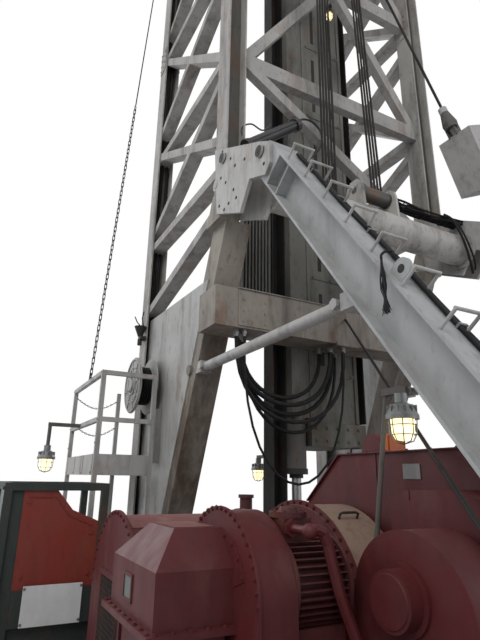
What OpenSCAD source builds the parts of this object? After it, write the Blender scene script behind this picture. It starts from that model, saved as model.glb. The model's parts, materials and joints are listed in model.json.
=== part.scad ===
// Oil drilling rig: lattice mast on a four-legged A-frame, with its drawworks.
// Units are millimetres, +Z is up, +X points from the mast to the drawworks.
// The origin is on the ground below the middle of the mast's front face.

/* [Skid] */
// Height of the skid rails
rail_h = 450; // [400:10:520]
// Width of the skid rails
rail_w = 300; // [240:10:320]
// Thickness of the rail flanges and webs
rail_t = 22; // [16:1:30]
// Back end of the skid, behind the mast front
skid_back = 2750; // [2650:10:3000]
// Front end of the skid, ahead of the mast front
skid_front = 4450; // [4400:10:4800]
// Thickness of the deck plates
deck_t = 12; // [8:1:20]
// Centre of the outer rail that carries the drawworks' far side
side_rail_y = -2950; // [-3000:10:-2900]

/* [Mast] */
// Distance between the mast legs' centres, across
mast_w = 3000; // [2900:10:3200]
// Distance between the front and back legs' centres
mast_d = 2400; // [2300:10:2500]
// Width of a leg's section
leg_w = 230; // [200:5:250]
// Depth of a mast leg's section, fore and aft
leg_d = 260; // [220:5:280]
// Thickness of the leg flanges
leg_flange = 20; // [14:1:26]
// Height of one bay
bay_h = 1980; // [1900:10:2050]
// Number of whole bays above the A-frame
bays = 5; // [4:1:6]
// Height at which the front legs stand on the A-frame
mast_foot_z = 4950; // [4900:10:5050]
// Depth of the bracing bars in the mast's sides
side_bar = 110; // [90:5:150]
// Thickness of the bracing bars, across
side_bar_t = 180; // [120:5:190]
// Depth of the front cross beams
front_beam = 210; // [160:5:260]
// Thickness of the front bracing, fore and aft
front_bar_t = 110; // [80:5:140]
// Depth of the front diagonals
front_diag = 130; // [100:5:160]
// Height of the frame on top of the legs
crown_h = 240; // [200:10:300]

/* [A-frame] */
// How far behind the mast front the front legs' feet stand
front_leg_run = 1960; // [1900:10:2000]
// Fore and aft width of a front leg
front_leg_d = 330; // [280:5:360]
// Fore and aft place of the rear legs' heads
apex_x = 900; // [860:10:940]
// Height of the rear legs' heads
apex_z = 4800; // [4760:10:4840]
// How far ahead of the mast front the rear legs' feet stand
rear_leg_run = 4100; // [4050:10:4150]
// Depth of a rear leg
rear_leg_d = 300; // [260:5:320]
// Thickness of the cheek plates at the apex
cheek_t = 35; // [25:1:45]
// Radius of the tube between the two apexes
tube_r = 175; // [160:5:190]
// Radius of the level ties between front and rear legs
tie_r = 50; // [40:1:55]
// Height of the level ties
tie_z = 3160; // [3050:10:3250]
// Height of the underside of the lower cross beam
beam_z = 3480; // [3440:10:3520]
// Depth of the lower cross beam
beam_h = 410; // [360:10:440]
// Thickness of the white plates at the mast's base
side_plate_t = 12; // [8:1:20]

/* [Inner column] */
// Width of the column's pale box
column_w = 715; // [650:5:760]
// Depth of the column, fore and aft
column_d = 850; // [700:10:900]
// Wall thickness of the column's box
column_wall = 16; // [10:1:24]
// Height of the column's lower end
column_z = 2400; // [2300:10:2500]
// Radius of the ram's barrel
ram_r = 115; // [100:5:125]
// Radius of the ram's rod
rod_r = 52; // [40:1:60]
// Height of the lower end of the ram's barrel
ram_z = 2100; // [2000:10:2200]

/* [Service platform] */
// Length of the platform
platform_l = 1700; // [1600:10:1800]
// Width of the platform
platform_w = 660; // [600:10:700]
// Height of the platform's floor
platform_z = 2110; // [2000:10:2200]
// Height of the handrail above the floor
handrail_h = 1100; // [1000:10:1150]
// Size of the square posts and rails
rail_bar = 50; // [35:1:60]
// Height of the toe board
toe_h = 170; // [120:5:200]

/* [Cable reel] */
// Radius of the reel's flanges
reel_r = 350; // [300:5:380]
// Radius of the reel's drum
reel_drum_r = 215; // [180:5:240]
// Width of the reel
reel_w = 210; // [180:5:230]
// Radius of the axle that the reel turns on
axle_r = 40; // [30:1:50]
// Gap all round between the axle and the reel's bore
axle_gap = 0.08; // [0.04:0.01:0.1]
// Gap between the turning reel and its stand
reel_gap = 8; // [6:1:12]

/* [Drawworks] */
// Height of the drawworks' base frame
works_base_h = 100; // [80:5:120]
// Radius of the left drum hood
left_hood_r = 500; // [460:5:520]
// Radius of the clutch guard
clutch_r = 400; // [370:5:410]
// Width of the clutch guard
clutch_w = 220; // [180:5:240]
// Radius of the finned motor
motor_r = 225; // [200:5:235]
// Number of cooling fins round the motor
motor_fins = 40; // [24:2:48]
// Radius of the pale middle drum hood
middle_hood_r = 600; // [560:5:620]
// Radius of the right chain guard
chain_guard_r = 370; // [340:5:380]
// Radius of the bent air pipe
pipe_r = 28; // [20:1:34]

/* [Hidden] */
$fn = 48;

white = "#b9b8b4";
grime = "#8f887c";
dark = "#2b2a28";
steel = "#8a8d90";
red = "#6d2a2c";
tan_paint = "#b39a86";
green = "#2c3330";

leg_y = mast_w / 2;
leg_out = leg_y + leg_w / 2;
leg_in = leg_y - leg_w / 2;
mast_top = 4760 + bays * bay_h;
leg_top = mast_top - crown_h;
first_level = mast_top - bays * bay_h;
web_t = 14;
foot_slope = front_leg_run / (mast_foot_z - rail_h);
rear_slope = (rear_leg_run - apex_x) / (apex_z - rail_h);
rear_angle = atan(rear_slope);
rear_half = rear_leg_d / 2 / cos(rear_angle);
works_z = rail_h + deck_t;
guard_z = works_z + works_base_h;
tube_x = 560;
tube_z = apex_z - 110;
roller_z = tube_z + tube_r + 180;
roller_r = 85;
pin_r = 40;
bracket_y = -20;
bracket_half = 220;
back_x = tube_x - 300;
back_z = tube_z + 90;
back_y = -355;
back_half = 130;
ear_t = 30;
line_r = 13;
column_y0 = -215;
column_y1 = column_y0 + column_w;
column_x1 = -450;
column_x0 = column_x1 - column_d;
ram_x = -560;
ram_y = column_y0 - ram_r;
rail_y0 = ram_y - ram_r - 180;
platform_x1 = -1500;
platform_x0 = platform_x1 - platform_l;
platform_y1 = -leg_out - 45;
platform_y0 = platform_y1 - platform_w;
reel_x = -1930;
reel_z = platform_z + 1030;
front_out = leg_y + 30;
front_in = leg_y - 260;
plate_y = front_out + side_plate_t / 2;
stand_y = -plate_y - side_plate_t / 2;
reel_y1 = -leg_out - 11;
reel_y0 = reel_y1 - reel_w;

// Shapes used by many parts
module block(x0, x1, y0, y1, z0, z1)
    translate([x0, y0, z0]) cube([x1 - x0, y1 - y0, z1 - z0]);
module slab_xz(points, y0, y1)
    translate([0, y1, 0]) rotate([90, 0, 0]) linear_extrude(y1 - y0) polygon(points);
module slab_yz(points, x0, x1)
    translate([x0, 0, 0]) rotate([90, 0, 90]) linear_extrude(x1 - x0) polygon(points);
function side_step(a, b, w) = let (d = b - a) [-d[1], d[0]] / norm(d) * w / 2;
function bar_points(a, b, w) = let (s = side_step(a, b, w)) [a + s, b + s, b - s, a - s];
module bar_xz(a, b, w, y0, y1) slab_xz(bar_points(a, b, w), y0, y1);
module bar_yz(a, b, w, x0, x1) slab_yz(bar_points(a, b, w), x0, x1);
module rod(a, b, r) {
    v = b - a;
    translate(a) rotate([0, acos(v[2] / norm(v)), atan2(v[1], v[0])]) cylinder(h = norm(v), r = r);
}
function unit(v) = v / norm(v);
module drum_y(x, z, r, y0, y1) translate([x, y1, z]) rotate([90, 0, 0]) cylinder(h = y1 - y0, r = r);
module both_sides() {
    children();
    mirror([0, 1, 0]) children();
}

// Skid and deck
module i_rail(y, x0, x1) {
    for (z = [0, rail_h - rail_t]) block(x0, x1, y - rail_w / 2, y + rail_w / 2, z, z + rail_t);
    block(x0, x1, y - rail_t / 2, y + rail_t / 2, 0, rail_h);
    for (x = [x0, x1 - rail_t]) block(x, x + rail_t, y - rail_w / 2, y + rail_w / 2, 0, rail_h);
}
module skid_rails() color(grime) {
    for (s = [-1, 1]) i_rail(s * leg_y, -skid_back, skid_front);
    i_rail(side_rail_y, -1300, skid_front);
}
module cross_beam(x0, x1) {
    block(x0, x1, -leg_y + rail_w / 2, leg_y - rail_w / 2, 0, rail_h);
}
lug = [skid_front - 50, -2547, rail_h + 110];
module skid_cross_beams() color(grime) {
    cross_beam(-2500, -2170);
    cross_beam(-2130, -1790);
    cross_beam(-1100, -350);
    cross_beam(-150, 150);
    cross_beam(1900, 2100);
    cross_beam(3900, 4100);
    for (x = [-1300, 300, 1950, 3500, skid_front - 200])
        block(x, x + 200, side_rail_y + rail_w / 2, -leg_y - rail_w / 2, 150, rail_h);
    block(lug[0] - 30, lug[0] + 30, lug[1] - 30, lug[1] + 30, 150, lug[2]);
}
module deck_plates() color(green) {
    block(300, 3700, side_rail_y - rail_w / 2, leg_y + rail_w / 2, rail_h, works_z);
    block(-1300, -200, cab_y0 - 10, side_rail_y + rail_w / 2 + 400, rail_h, works_z);
}

// A-frame
function front_leg_x(z) = -front_leg_run + (z - rail_h) * foot_slope;
leg_head_z = mast_foot_z - 330;
module front_leg() difference() {
    half = front_leg_d / 2;
    slab_xz([[front_leg_x(rail_h) - half, rail_h], [front_leg_x(rail_h) + half, rail_h],
        [front_leg_x(mast_foot_z) + half, mast_foot_z], [front_leg_x(mast_foot_z) - half, mast_foot_z]],
        -leg_out, -front_in);
    block(-front_leg_run - 900, 900, -leg_out - 10, -front_out, rail_h - 10, leg_head_z);
    block(-front_leg_run - 900, 900, -leg_in, -front_in + 10, leg_head_z, mast_foot_z + 10);
}
module front_legs() color(grime) both_sides() front_leg();
function rear_z(x) = rail_h + (rear_leg_run - x) / rear_slope;
rear_dir = [apex_x - rear_leg_run, apex_z - rail_h] / norm([apex_x - rear_leg_run, apex_z - rail_h]);
rear_up = [rear_dir[1], -rear_dir[0]];
rear_head = [apex_x, apex_z];
rear_foot = [rear_leg_run, rail_h] - rear_dir * 300;
module rear_strip(offset_up, depth, y0, y1)
    bar_xz(rear_head + rear_up * offset_up, rear_foot + rear_up * offset_up, depth, y0, y1);
module rear_leg() difference() {
    union() {
        edge = rear_leg_d / 2 - leg_flange / 2;
        rear_strip(edge, leg_flange, -leg_out, -leg_in);
        rear_strip(-edge, leg_flange, -leg_out, -leg_in);
        rear_strip(0, rear_leg_d, -leg_y - web_t, -leg_y + web_t);
        bar_xz(rear_head, rear_head - rear_dir * 300, rear_leg_d, -leg_out, -leg_in);
    }
    block(rear_leg_run - 900, rear_leg_run + 900, -leg_out - 10, -leg_in + 10, -600, rail_h);
}
module rear_legs() color(white) both_sides() rear_leg();
cheek = [[-80, mast_foot_z + 520], [apex_x, apex_z + 140], [apex_x + 160, apex_z + 40],
    [apex_x + 180, apex_z - 180], [apex_x + 100, apex_z - 260], [apex_x - 180, apex_z - 140],
    [apex_x - 360, apex_z - 400], [20, mast_foot_z - 310]];
cheek_pin_r = 55;
module cheeks() {
    slab_xz(cheek, -leg_out - cheek_t, -leg_out);
    slab_xz(cheek, -leg_in, -leg_in + cheek_t);
}
module apex_plates() color(white) both_sides() {
    cheeks();
    for (p = [[160, mast_foot_z + 270], [apex_x + 30, apex_z + 10]])
        drum_y(p[0], p[1], cheek_pin_r, -leg_out - cheek_t - 30, -leg_out - cheek_t);
    drum_y(-20, mast_foot_z + 60, 75, -leg_out - cheek_t, -leg_out);
}
tie_end = 60;
module leg_tie(y) {
    x0 = front_leg_x(tie_z);
    x1 = rear_leg_run - (tie_z - rail_h) * rear_slope;
    difference() {
        union() {
            rod([x0, y, tie_z], [x1, y, tie_z], tie_r);
            block(x1 - 340, x1, y - tie_end, y + tie_end, tie_z - tie_end, tie_z + tie_end);
            block(x0, x0 + 270, y - tie_end, y + tie_end, tie_z - tie_end, tie_z + tie_end);
        }
        both_sides() front_leg();
        both_sides() bar_xz(rear_head, rear_foot, rear_leg_d, -leg_out - 5, -leg_in + 5);
    }
}
module leg_ties() color(white) for (s = [-1, 1]) leg_tie(s * (leg_y - 30));
beam_x0 = column_x1 + 33;
beam_x1 = beam_x0 + 400;
module lower_cross_beam() color(grime) difference() {
    block(beam_x0, beam_x1, -leg_out, leg_out, beam_z, beam_z + beam_h);
    both_sides() front_leg();
}
module apex_tube() color(white)
    drum_y(tube_x, tube_z, tube_r, -leg_in + cheek_t, leg_in - cheek_t);
rung_pitch = 370;
rungs = 11;
rung_r = 10;
rung_out = 130;
rung_half = leg_w / 2 - 25;
module rung(s) {
    base = rear_head - rear_dir * s + rear_up * rear_leg_d / 2;
    tip = base + rear_up * rung_out;
    ends = [for (y = [-leg_y - rung_half, -leg_y + rung_half]) y];
    for (y = ends) rod([base[0], y, base[1]], [tip[0], y, tip[1]], rung_r);
    rod([tip[0], ends[0] - rung_r, tip[1]], [tip[0], ends[1] + rung_r, tip[1]], rung_r);
}
module leg_rungs() color(white) for (i = [0 : rungs - 1]) rung(420 + i * rung_pitch);

// Mast
module h_leg(x, y, z0) translate([x, y, z0]) linear_extrude(leg_top - z0) {
    for (s = [-1, 1])
        translate([0, s * (leg_w - leg_flange) / 2]) square([leg_d, leg_flange], center = true);
    square([web_t, leg_w], center = true);
}
module mast_legs() color(white) for (y = [-leg_y, leg_y]) {
    h_leg(0, y, mast_foot_z);
    h_leg(-mast_d, y, rail_h);
}
side_x0 = -mast_d + web_t / 2;
side_x1 = -web_t / 2;
side_half = min(side_bar_t, leg_w - 2 * leg_flange - 1) / 2;
module level_bar(z) block(side_x0, side_x1, -leg_y - side_half, -leg_y + side_half, z - side_bar / 2,
    z + side_bar / 2);
module slant_bar(z0, z1) bar_xz([side_x0, z0], [side_x1, z1], side_bar, -leg_y - side_half,
    -leg_y + side_half);
module mast_side() difference() {
    intersection() {
        union() {
            level_bar(first_level + 490);
            slant_bar(first_level - 510, first_level + 60);
            slant_bar(first_level + 690, first_level + bay_h - 190);
            slant_bar(first_level + bay_h + 100, first_level + 820);
            for (i = [1 : bays - 1]) {
                z = first_level + i * bay_h;
                level_bar(z);
                slant_bar(z + 460, z + bay_h - 420);
                slant_bar(z + bay_h, z);
            }
        }
        block(side_x0, side_x1, -leg_out, -leg_in, rail_h, leg_top);
    }
    block(front_leg_x(first_level) - front_leg_d / 2, 300, -leg_out - 10, -leg_in + 10, rail_h,
        mast_foot_z);
    bar_xz([front_leg_x(rail_h), rail_h], [front_leg_x(mast_foot_z), mast_foot_z],
        front_leg_d * cos(atan(foot_slope)), -leg_out - 10, -leg_in + 10);
}
module mast_left_side() color(white) mast_side();
module mast_right_side() color(white) mirror([0, 1, 0]) mast_side();
front_x = front_bar_t / 2;
module mast_front() color(white) difference() {
    intersection() {
        union() {
            for (i = [1 : bays - 1]) {
                z = first_level + i * bay_h;
                block(-front_x, front_x, -leg_in, leg_in, z - front_beam / 2, z + front_beam / 2);
                for (s = [-1, 1]) bar_yz([s * leg_in, z], [0, z + bay_h], front_diag, -front_x, front_x);
            }
            bar_yz([-leg_in, first_level + bay_h], [leg_in, first_level + 310], front_diag, -front_x,
                front_x);
        }
        block(-front_x, front_x, -leg_in, leg_in, mast_foot_z, leg_top);
    }
    both_sides() cheeks();
}
overhang_x = 200;
module mast_top_frame() color(white) {
    for (y = [-leg_y, leg_y])
        block(-mast_d - leg_d / 2, overhang_x + 120, y - leg_w / 2, y + leg_w / 2, leg_top, mast_top);
    for (x = [-mast_d, -1150, -600, 0, overhang_x])
        block(x - 70, x + 70, -leg_in, leg_in, leg_top, mast_top - 20);
}
module base_side_plates() color(white) both_sides() difference() {
    slab_xz([[side_x0, rail_h], [front_leg_x(rail_h), rail_h], [front_leg_x(4080), 4080],
        [side_x0, 4140]], -plate_y - side_plate_t / 2, -plate_y + side_plate_t / 2);
    front_leg();
}

// Inner column with its ram
module inner_column() color(grime) {
    difference() {
        block(column_x0, column_x1, column_y0, column_y1, column_z, leg_top);
        block(column_x0 + column_wall, column_x1 - column_wall, column_y0 + column_wall,
            column_y1 - column_wall, column_z + 300, leg_top - 200);
    }
    block(column_x1, column_x1 + 40, column_y0, column_y1 + 60, column_z, column_z + 260);
    block(ram_x - ram_r, ram_x + ram_r, ram_y - ram_r, column_y0, column_z + 300, leg_top);
}
module channel(x0, x1, y0, y1, z0, z1) difference() {
    block(x0, x1, y0, y1, z0, z1);
    block(x0 + 30, x1 + 10, y0 + 14, y1 - 14, z0 - 10, z1 + 10);
}
module column_rails() color(dark) {
    channel(ram_x - 200, ram_x, rail_y0, ram_y - ram_r, rail_h, leg_top);
    channel(column_x1 - 300, column_x1 - 100, column_y1, column_y1 + 200, column_z + 300, leg_top);
}
module hose_tray() color(grime) {
    tray_x = ram_x - 60;
    block(tray_x, tray_x + 30, rail_y0 - 420, rail_y0, 3900, 5300);
    for (i = [0 : 8])
        block(tray_x + 30, tray_x + 75, rail_y0 - 420 + i * 45, rail_y0 - 400 + i * 45, 3900, 5300);
}
module ram_barrel() color(green)
    translate([ram_x, ram_y, ram_z]) cylinder(h = column_z + 300 - ram_z, r = ram_r);
module ram_rod() color(steel) translate([ram_x, ram_y, rail_h]) cylinder(h = ram_z - rail_h, r = rod_r);

// Hoist lines, their rollers and the anchor
module roller(x, z, y, half) {
    drum_y(x, z, roller_r, y - half + 5, y + half - 5);
    drum_y(x, z, pin_r, y - half - ear_t, y + half + ear_t);
}
module line_rollers() color(steel) {
    roller(tube_x, roller_z, bracket_y, bracket_half);
    roller(back_x, back_z, back_y, back_half);
}
module ears(points, y, half) for (s = [-1, 1]) {
    y0 = y + s * (half + ear_t / 2) - ear_t / 2;
    slab_xz(points, y0, y0 + ear_t);
}
module line_brackets() color(white) difference() {
    union() {
        ears([[tube_x - 150, tube_z + 80], [tube_x + 150, tube_z + 80], [tube_x + 130, roller_z],
            [tube_x + 110, roller_z + 70], [tube_x + 50, roller_z + 120], [tube_x - 50, roller_z + 120],
            [tube_x - 110, roller_z + 70], [tube_x - 130, roller_z]], bracket_y, bracket_half);
        ears([[tube_x - 60, tube_z - 150], [back_x - 60, back_z - 70], [back_x - 90, back_z + 20],
            [back_x - 30, back_z + 80], [tube_x - 60, tube_z + 150]], back_y, back_half);
    }
    drum_y(tube_x, tube_z, tube_r, -leg_in, leg_in);
    drum_y(tube_x, roller_z, pin_r, bracket_y - bracket_half - 50, bracket_y + bracket_half + 50);
    drum_y(back_x, back_z, pin_r, back_y - back_half - 50, back_y + back_half + 50);
}
front_line_y = [-10, 35, 80, 125];
back_line_y = [-445, -400, -355, -310, -265];
seat = 0.8;
module hoist_line(x, z, y) rod([x, y, z + roller_r + seat], [overhang_x, y * 0.8, leg_top - seat], line_r);
module hoist_lines() color(dark) {
    for (y = front_line_y) hoist_line(tube_x, roller_z, y);
    for (y = back_line_y) hoist_line(back_x, back_z, y);
}
anchor_c = [1000, 1270, apex_z + 870];
module anchor_box() translate(anchor_c) rotate([24, 0, 0]) cube([420, 520, 700], center = true);
socket_a = [980, 890, anchor_c[2] + 370];
line_top = [front_x + 16, 60, first_level + 3 * bay_h];
line_dir = unit(line_top - socket_a);
socket_l = 260;
module socket() rod(socket_a + line_dir * socket_l, socket_a, 50);
module anchor_block() color(white) {
    anchor_box();
    difference() {
        union() {
            socket();
            rod(socket_a, anchor_c + [0, -140, 60], 42);
        }
        anchor_box();
    }
    difference() {
        block(960, 1080, leg_y - 100, leg_y + 60, apex_z + 50, anchor_c[2] - 250);
        both_sides() rear_leg();
        anchor_box();
    }
}
module anchor_line() color(dark)
    rod(socket_a + line_dir * (socket_l + seat / 2), line_top - line_dir * 9 + [0, 0, 0], 16);
hose_r = 26;
stay_r = 12;
stay_head = [beam_x1 + 9, 0, beam_z + 290];
module stay_line() color(dark) rod(stay_head, lug + [0, 0, 11], stay_r);
module tube_hoses() color(dark) for (i = [-1 : 1])
    drum_y(tube_x + i * (2 * hose_r + 6), roller_z, hose_r, bracket_y + bracket_half + ear_t + 0.4,
        leg_in - cheek_t - 0.4);

// Hose loops under the lower cross beam. Each route is a list of hand-chosen points.
hose_x = beam_x1 - 150;
hose_top = beam_z;
function loop_route(y0, y1, drop, dx) = let (n = 16, m = (y0 + y1) / 2, h = (y1 - y0) / 2)
    [for (i = [0 : n]) let (t = 180 * i / n) [dx, m - h * cos(t), hose_top - drop * pow(sin(t), 0.75)]];
hose_routes = [loop_route(-1290, -110, 700, hose_x), loop_route(-1240, -40, 790, hose_x - 60),
    loop_route(-1180, -170, 610, hose_x - 120), loop_route(-1330, 30, 880, hose_x + 55),
    loop_route(-1120, 90, 960, hose_x - 175), loop_route(-1260, -10, 1480, hose_x + 100)];
hose_radius = [24, 24, 22, 20, 18, 12];
function route_dir(p, i) = unit(p[min(i + 1, len(p) - 1)] - p[max(i - 1, 0)]);
function ring_dir(p, i, d0, d1) = i == 0 ? d0 : i == len(p) - 1 ? d1 : route_dir(p, i);
module hose(p, r, d0 = [0, 0, -1], d1 = [0, 0, 1]) {
    sides = 8;
    rings = len(p);
    points = [for (i = [0 : rings - 1]) let (d = ring_dir(p, i, d0, d1), u = [1, 0, 0], v = cross(d, u))
        for (k = [0 : sides - 1]) p[i] + r * (cos(360 * k / sides) * u + sin(360 * k / sides) * v)];
    walls = [for (i = [0 : rings - 2], k = [0 : sides - 1]) let (a = i * sides, n = (k + 1) % sides)
        [a + k, a + sides + k, a + sides + n, a + n]];
    ends = [[for (k = [0 : sides - 1]) k], [for (k = [sides - 1 : -1 : 0]) (rings - 1) * sides + k]];
    polyhedron(points = points, faces = concat(walls, ends));
}
module hose_loops() color(dark) for (i = [0 : len(hose_routes) - 1]) hose(hose_routes[i], hose_radius[i]);

// Service platform beside the mast
floor_t = 50;
module platform_floor() color(white) {
    block(platform_x0, platform_x1, platform_y0, platform_y1, platform_z - floor_t, platform_z);
    block(-mast_d - 60, -mast_d + 60, platform_y1, -leg_out, platform_z - floor_t, platform_z);
}
module at_corners()
    for (x = [platform_x0, platform_x1 - rail_bar], y = [platform_y0, platform_y1 - rail_bar])
        translate([x, y, 0]) children();
module platform_posts() color(white) at_corners() {
    cube([rail_bar, rail_bar, platform_z - floor_t]);
    translate([-35, 0, 0]) cube([rail_bar + 70, rail_bar, 12]);
}
module platform_rails() color(white) {
    rail_top = platform_z + handrail_h;
    for (p = [[platform_x0, platform_y0], [platform_x1 - rail_bar, platform_y0],
        [platform_x1 - rail_bar, platform_y1 - rail_bar], [platform_x0, platform_y1 - rail_bar]])
        block(p[0], p[0] + rail_bar, p[1], p[1] + rail_bar, platform_z, rail_top);
    for (z = [rail_top, platform_z + handrail_h * 0.52]) {
        block(platform_x0, platform_x1, platform_y0, platform_y0 + rail_bar, z - rail_bar, z);
        block(platform_x1 - rail_bar, platform_x1, platform_y0, platform_y1, z - rail_bar, z);
    }
    block(platform_x0, platform_x1, platform_y0, platform_y0 + 8, platform_z, platform_z + toe_h);
    block(platform_x1 - 8, platform_x1, platform_y0, platform_y1, platform_z, platform_z + toe_h);
}
line_foot = [platform_x0 + 900, platform_y0 + rail_bar / 2, platform_z + handrail_h + seat];
line_head = [-mast_d - 95, -leg_out - 10.5, leg_top - 100];
module platform_line() color(dark) rod(line_foot, line_head, 10);

// Cable reel and its stand
module reel_stand() color(white) {
    drum_y(reel_x, reel_z, 150, stand_y - 20, stand_y);
    drum_y(reel_x, reel_z, axle_r + 30, reel_y1 + reel_gap, stand_y);
    drum_y(reel_x, reel_z, axle_r, reel_y0 - reel_gap - 30, stand_y);
    drum_y(reel_x, reel_z, axle_r + 30, reel_y0 - reel_gap - 30, reel_y0 - reel_gap);
}
module cable_reel() color(white) difference() {
    union() {
        drum_y(reel_x, reel_z, reel_r, reel_y0, reel_y0 + 12);
        drum_y(reel_x, reel_z, reel_r, reel_y1 - 12, reel_y1);
        drum_y(reel_x, reel_z, reel_drum_r, reel_y0, reel_y1);
    }
    drum_y(reel_x, reel_z, axle_r + axle_gap, reel_y0 - 10, reel_y1 + 10);
}

// Lamps: each hangs below its point
lamp_points = [[-2500, -2680, 2400], [-2400, 250, 2330], [1955, -1250, 2560],
    [-front_bar_t - 90, 140, first_level + 2 * bay_h - front_beam / 2]];
lamp_sizes = [1, 1, 0.95, 0.65];
module lamp_head(s) rotate_extrude() polygon([[0, 0], [40 * s, 0], [40 * s, -60 * s], [70 * s, -75 * s],
    [105 * s, -140 * s], [105 * s, -165 * s], [0, -165 * s]]);
module lamp_globe(s) rotate_extrude() polygon([[0, -165 * s], [75 * s, -165 * s], [70 * s, -250 * s],
    [50 * s, -290 * s], [0, -300 * s]]);
module lamp_heads() color(steel) for (i = [0 : len(lamp_points) - 1])
    translate(lamp_points[i]) lamp_head(lamp_sizes[i]);
module lamp_globes() color("#f6e6a8") for (i = [0 : len(lamp_points) - 1])
    translate(lamp_points[i]) lamp_globe(lamp_sizes[i]);
post_r = 22;
module gooseneck(p, side, z0) {
    translate([p[0] + side, p[1], z0]) cylinder(h = p[2] - z0, r = post_r);
    block(p[0] + min(side, 0) - post_r, p[0] + max(side, 0) + post_r, p[1] - post_r, p[1] + post_r,
        p[2], p[2] + 2 * post_r);
}
cabinet_z = 1990;
module lamp_posts() color(steel) {
    m = lamp_points[3];
    block(m[0] - post_r, -front_x, m[1] - post_r, m[1] + post_r, m[2], m[2] + 2 * post_r);
    p = lamp_points[0];
    arm_z = platform_z + handrail_h * 0.52 - rail_bar;
    translate(p) cylinder(h = arm_z - p[2], r = post_r);
    block(p[0] - post_r, p[0] + post_r, p[1] - post_r, platform_y0, arm_z, arm_z + 2 * post_r);
    gooseneck(lamp_points[1], 180, rail_h);
    q = lamp_points[2];
    block(q[0] - 140, q[0] + post_r, q[1] - post_r, q[1] + post_r, q[2], q[2] + 2 * post_r);
    difference() {
        rod([1690, -1290, 1600], [q[0] - 125, q[1], q[2]], 16);
        drum_y(middle_xc, middle_zc, middle_hood_r, middle_y0, middle_y1);
    }
}

// Drawworks
works_x0 = 320;
works_x1 = 3150;
works_y0 = -2900;
works_y1 = -200;
module hood(xc, zc, r, y0, y1) {
    drum_y(xc, zc, r, y0, y1);
    block(xc - r, xc + r, y0, y1, guard_z, zc);
}
module drawworks_base() color(red) {
    block(works_x0, works_x1, works_y0, works_y1, works_z, guard_z);
    block(motor_x - 180, motor_x + 180, motor_y0 + 20, motor_y1 - 20, guard_z, motor_z - motor_r);
    block(cover_x0 + 50, cover_x1, clutch_y0 - 330, clutch_y0 - 40, guard_z, cover_z - 30);
}
left_y0 = -2600;
left_y1 = -1650;
module left_drum_hood() color(red) difference() {
    hood(680, rail_h + 1350 - left_hood_r, left_hood_r, left_y0, left_y1);
    block(cover_x0 - 40, cover_x1, cover_y0, clutch_y0, guard_z, left_top + 10);
}
left_top = rail_h + 1350;
clutch_y0 = -2330;
clutch_x = 1680;
clutch_zc = rail_h + 1440 - clutch_r;
module clutch_guard() color(red) {
    hood(clutch_x, clutch_zc, clutch_r, clutch_y0, clutch_y0 + clutch_w);
}
cover_z = 1400;
cover_x0 = 1150;
cover_x1 = 1860;
cover_y0 = clutch_y0 - 390;
eave_z = cover_z + 240;
ridge_z = cover_z + 410;
module brake_cover() color(red) {
    intersection() {
        slab_xz([[cover_x0, cover_z], [cover_x1, cover_z], [cover_x1, eave_z], [cover_x1 - 140, ridge_z],
            [cover_x0 + 200, ridge_z], [cover_x0, eave_z]], cover_y0, clutch_y0);
        slab_yz([[cover_y0, cover_z], [clutch_y0, cover_z], [clutch_y0, ridge_z],
            [cover_y0 + 130, ridge_z], [cover_y0, eave_z]], cover_x0, cover_x1);
    }
    block(cover_x0 - 40, cover_x1 + 40, cover_y0 - 40, clutch_y0, cover_z - 30, cover_z);
}
motor_x = 1840;
motor_z = 1550;
motor_y0 = clutch_y0 + clutch_w;
motor_y1 = -1780;
module drive_motor() color(red) {
    translate([motor_x, motor_y1, motor_z]) rotate([90, 0, 0]) linear_extrude(motor_y1 - motor_y0) {
        circle(r = motor_r - 35);
        for (i = [0 : motor_fins - 1]) rotate(i * 360 / motor_fins)
            translate([motor_r / 2, 0]) square([motor_r, 7], center = true);
    }
    block(motor_x - 180, motor_x + 180, motor_y0 + 20, motor_y1 - 20, motor_z - motor_r,
        motor_z - motor_r + 60);
    block(motor_x - 90, motor_x + 90, motor_y0 + 20, motor_y0 + 190, motor_z + motor_r - 40, 1860);
    translate([motor_x, motor_y0 + 105, 1860]) cylinder(h = 28, r = 98);
    translate([motor_x, motor_y1, motor_z]) rotate([-90, 0, 0]) rotate_extrude()
        polygon([[0, 0], [motor_r - 30, 0], [motor_r - 35, 35], [motor_r - 75, 62], [0, 74]]);
}
pipe_x = motor_x + motor_r + pipe_r + 5;
pipe_route = [[pipe_x, -2050, 1815], [pipe_x, -2015, 1822], [pipe_x, -1975, 1806], [pipe_x, -1947, 1755],
    [pipe_x, -1931, 1690], [pipe_x, -1910, 1620], [pipe_x, -1888, 1540], [pipe_x, -1856, 1460],
    [pipe_x, -1822, 1385], [pipe_x, -1786, 1300], [pipe_x, -1755, 1200], [pipe_x, -1736, 1080],
    [pipe_x, -1728, 900], [pipe_x, -1728, guard_z]];
module air_pipe() color(red) {
    hose(pipe_route, pipe_r, [0, 0.98, 0.2], [0, 0, -1]);
    translate([motor_x + 90, pipe_route[0][1], pipe_route[0][2]]) rotate([0, 90, 0])
        cylinder(h = pipe_x - motor_x - 92, r = pipe_r * 0.8);
    translate(pipe_route[0]) sphere(r = pipe_r * 1.3, $fn = 24);
}
middle_xc = 1280;
middle_y0 = -1570;
middle_y1 = -1200;
middle_zc = rail_h + 1440 - middle_hood_r;
module middle_drum_hood() color(tan_paint) hood(middle_xc, middle_zc, middle_hood_r, middle_y0, middle_y1);
guard_x = 2320;
guard_y0 = -1680;
guard_y1 = -1400;
chain_zc = rail_h + 1380 - chain_guard_r;
module chain_guard() color(red) {
    hood(guard_x, chain_zc, chain_guard_r, guard_y0, guard_y1);
    drum_y(guard_x - 15, chain_zc + 75, 130, guard_y0 - 95, guard_y0);
}
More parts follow.
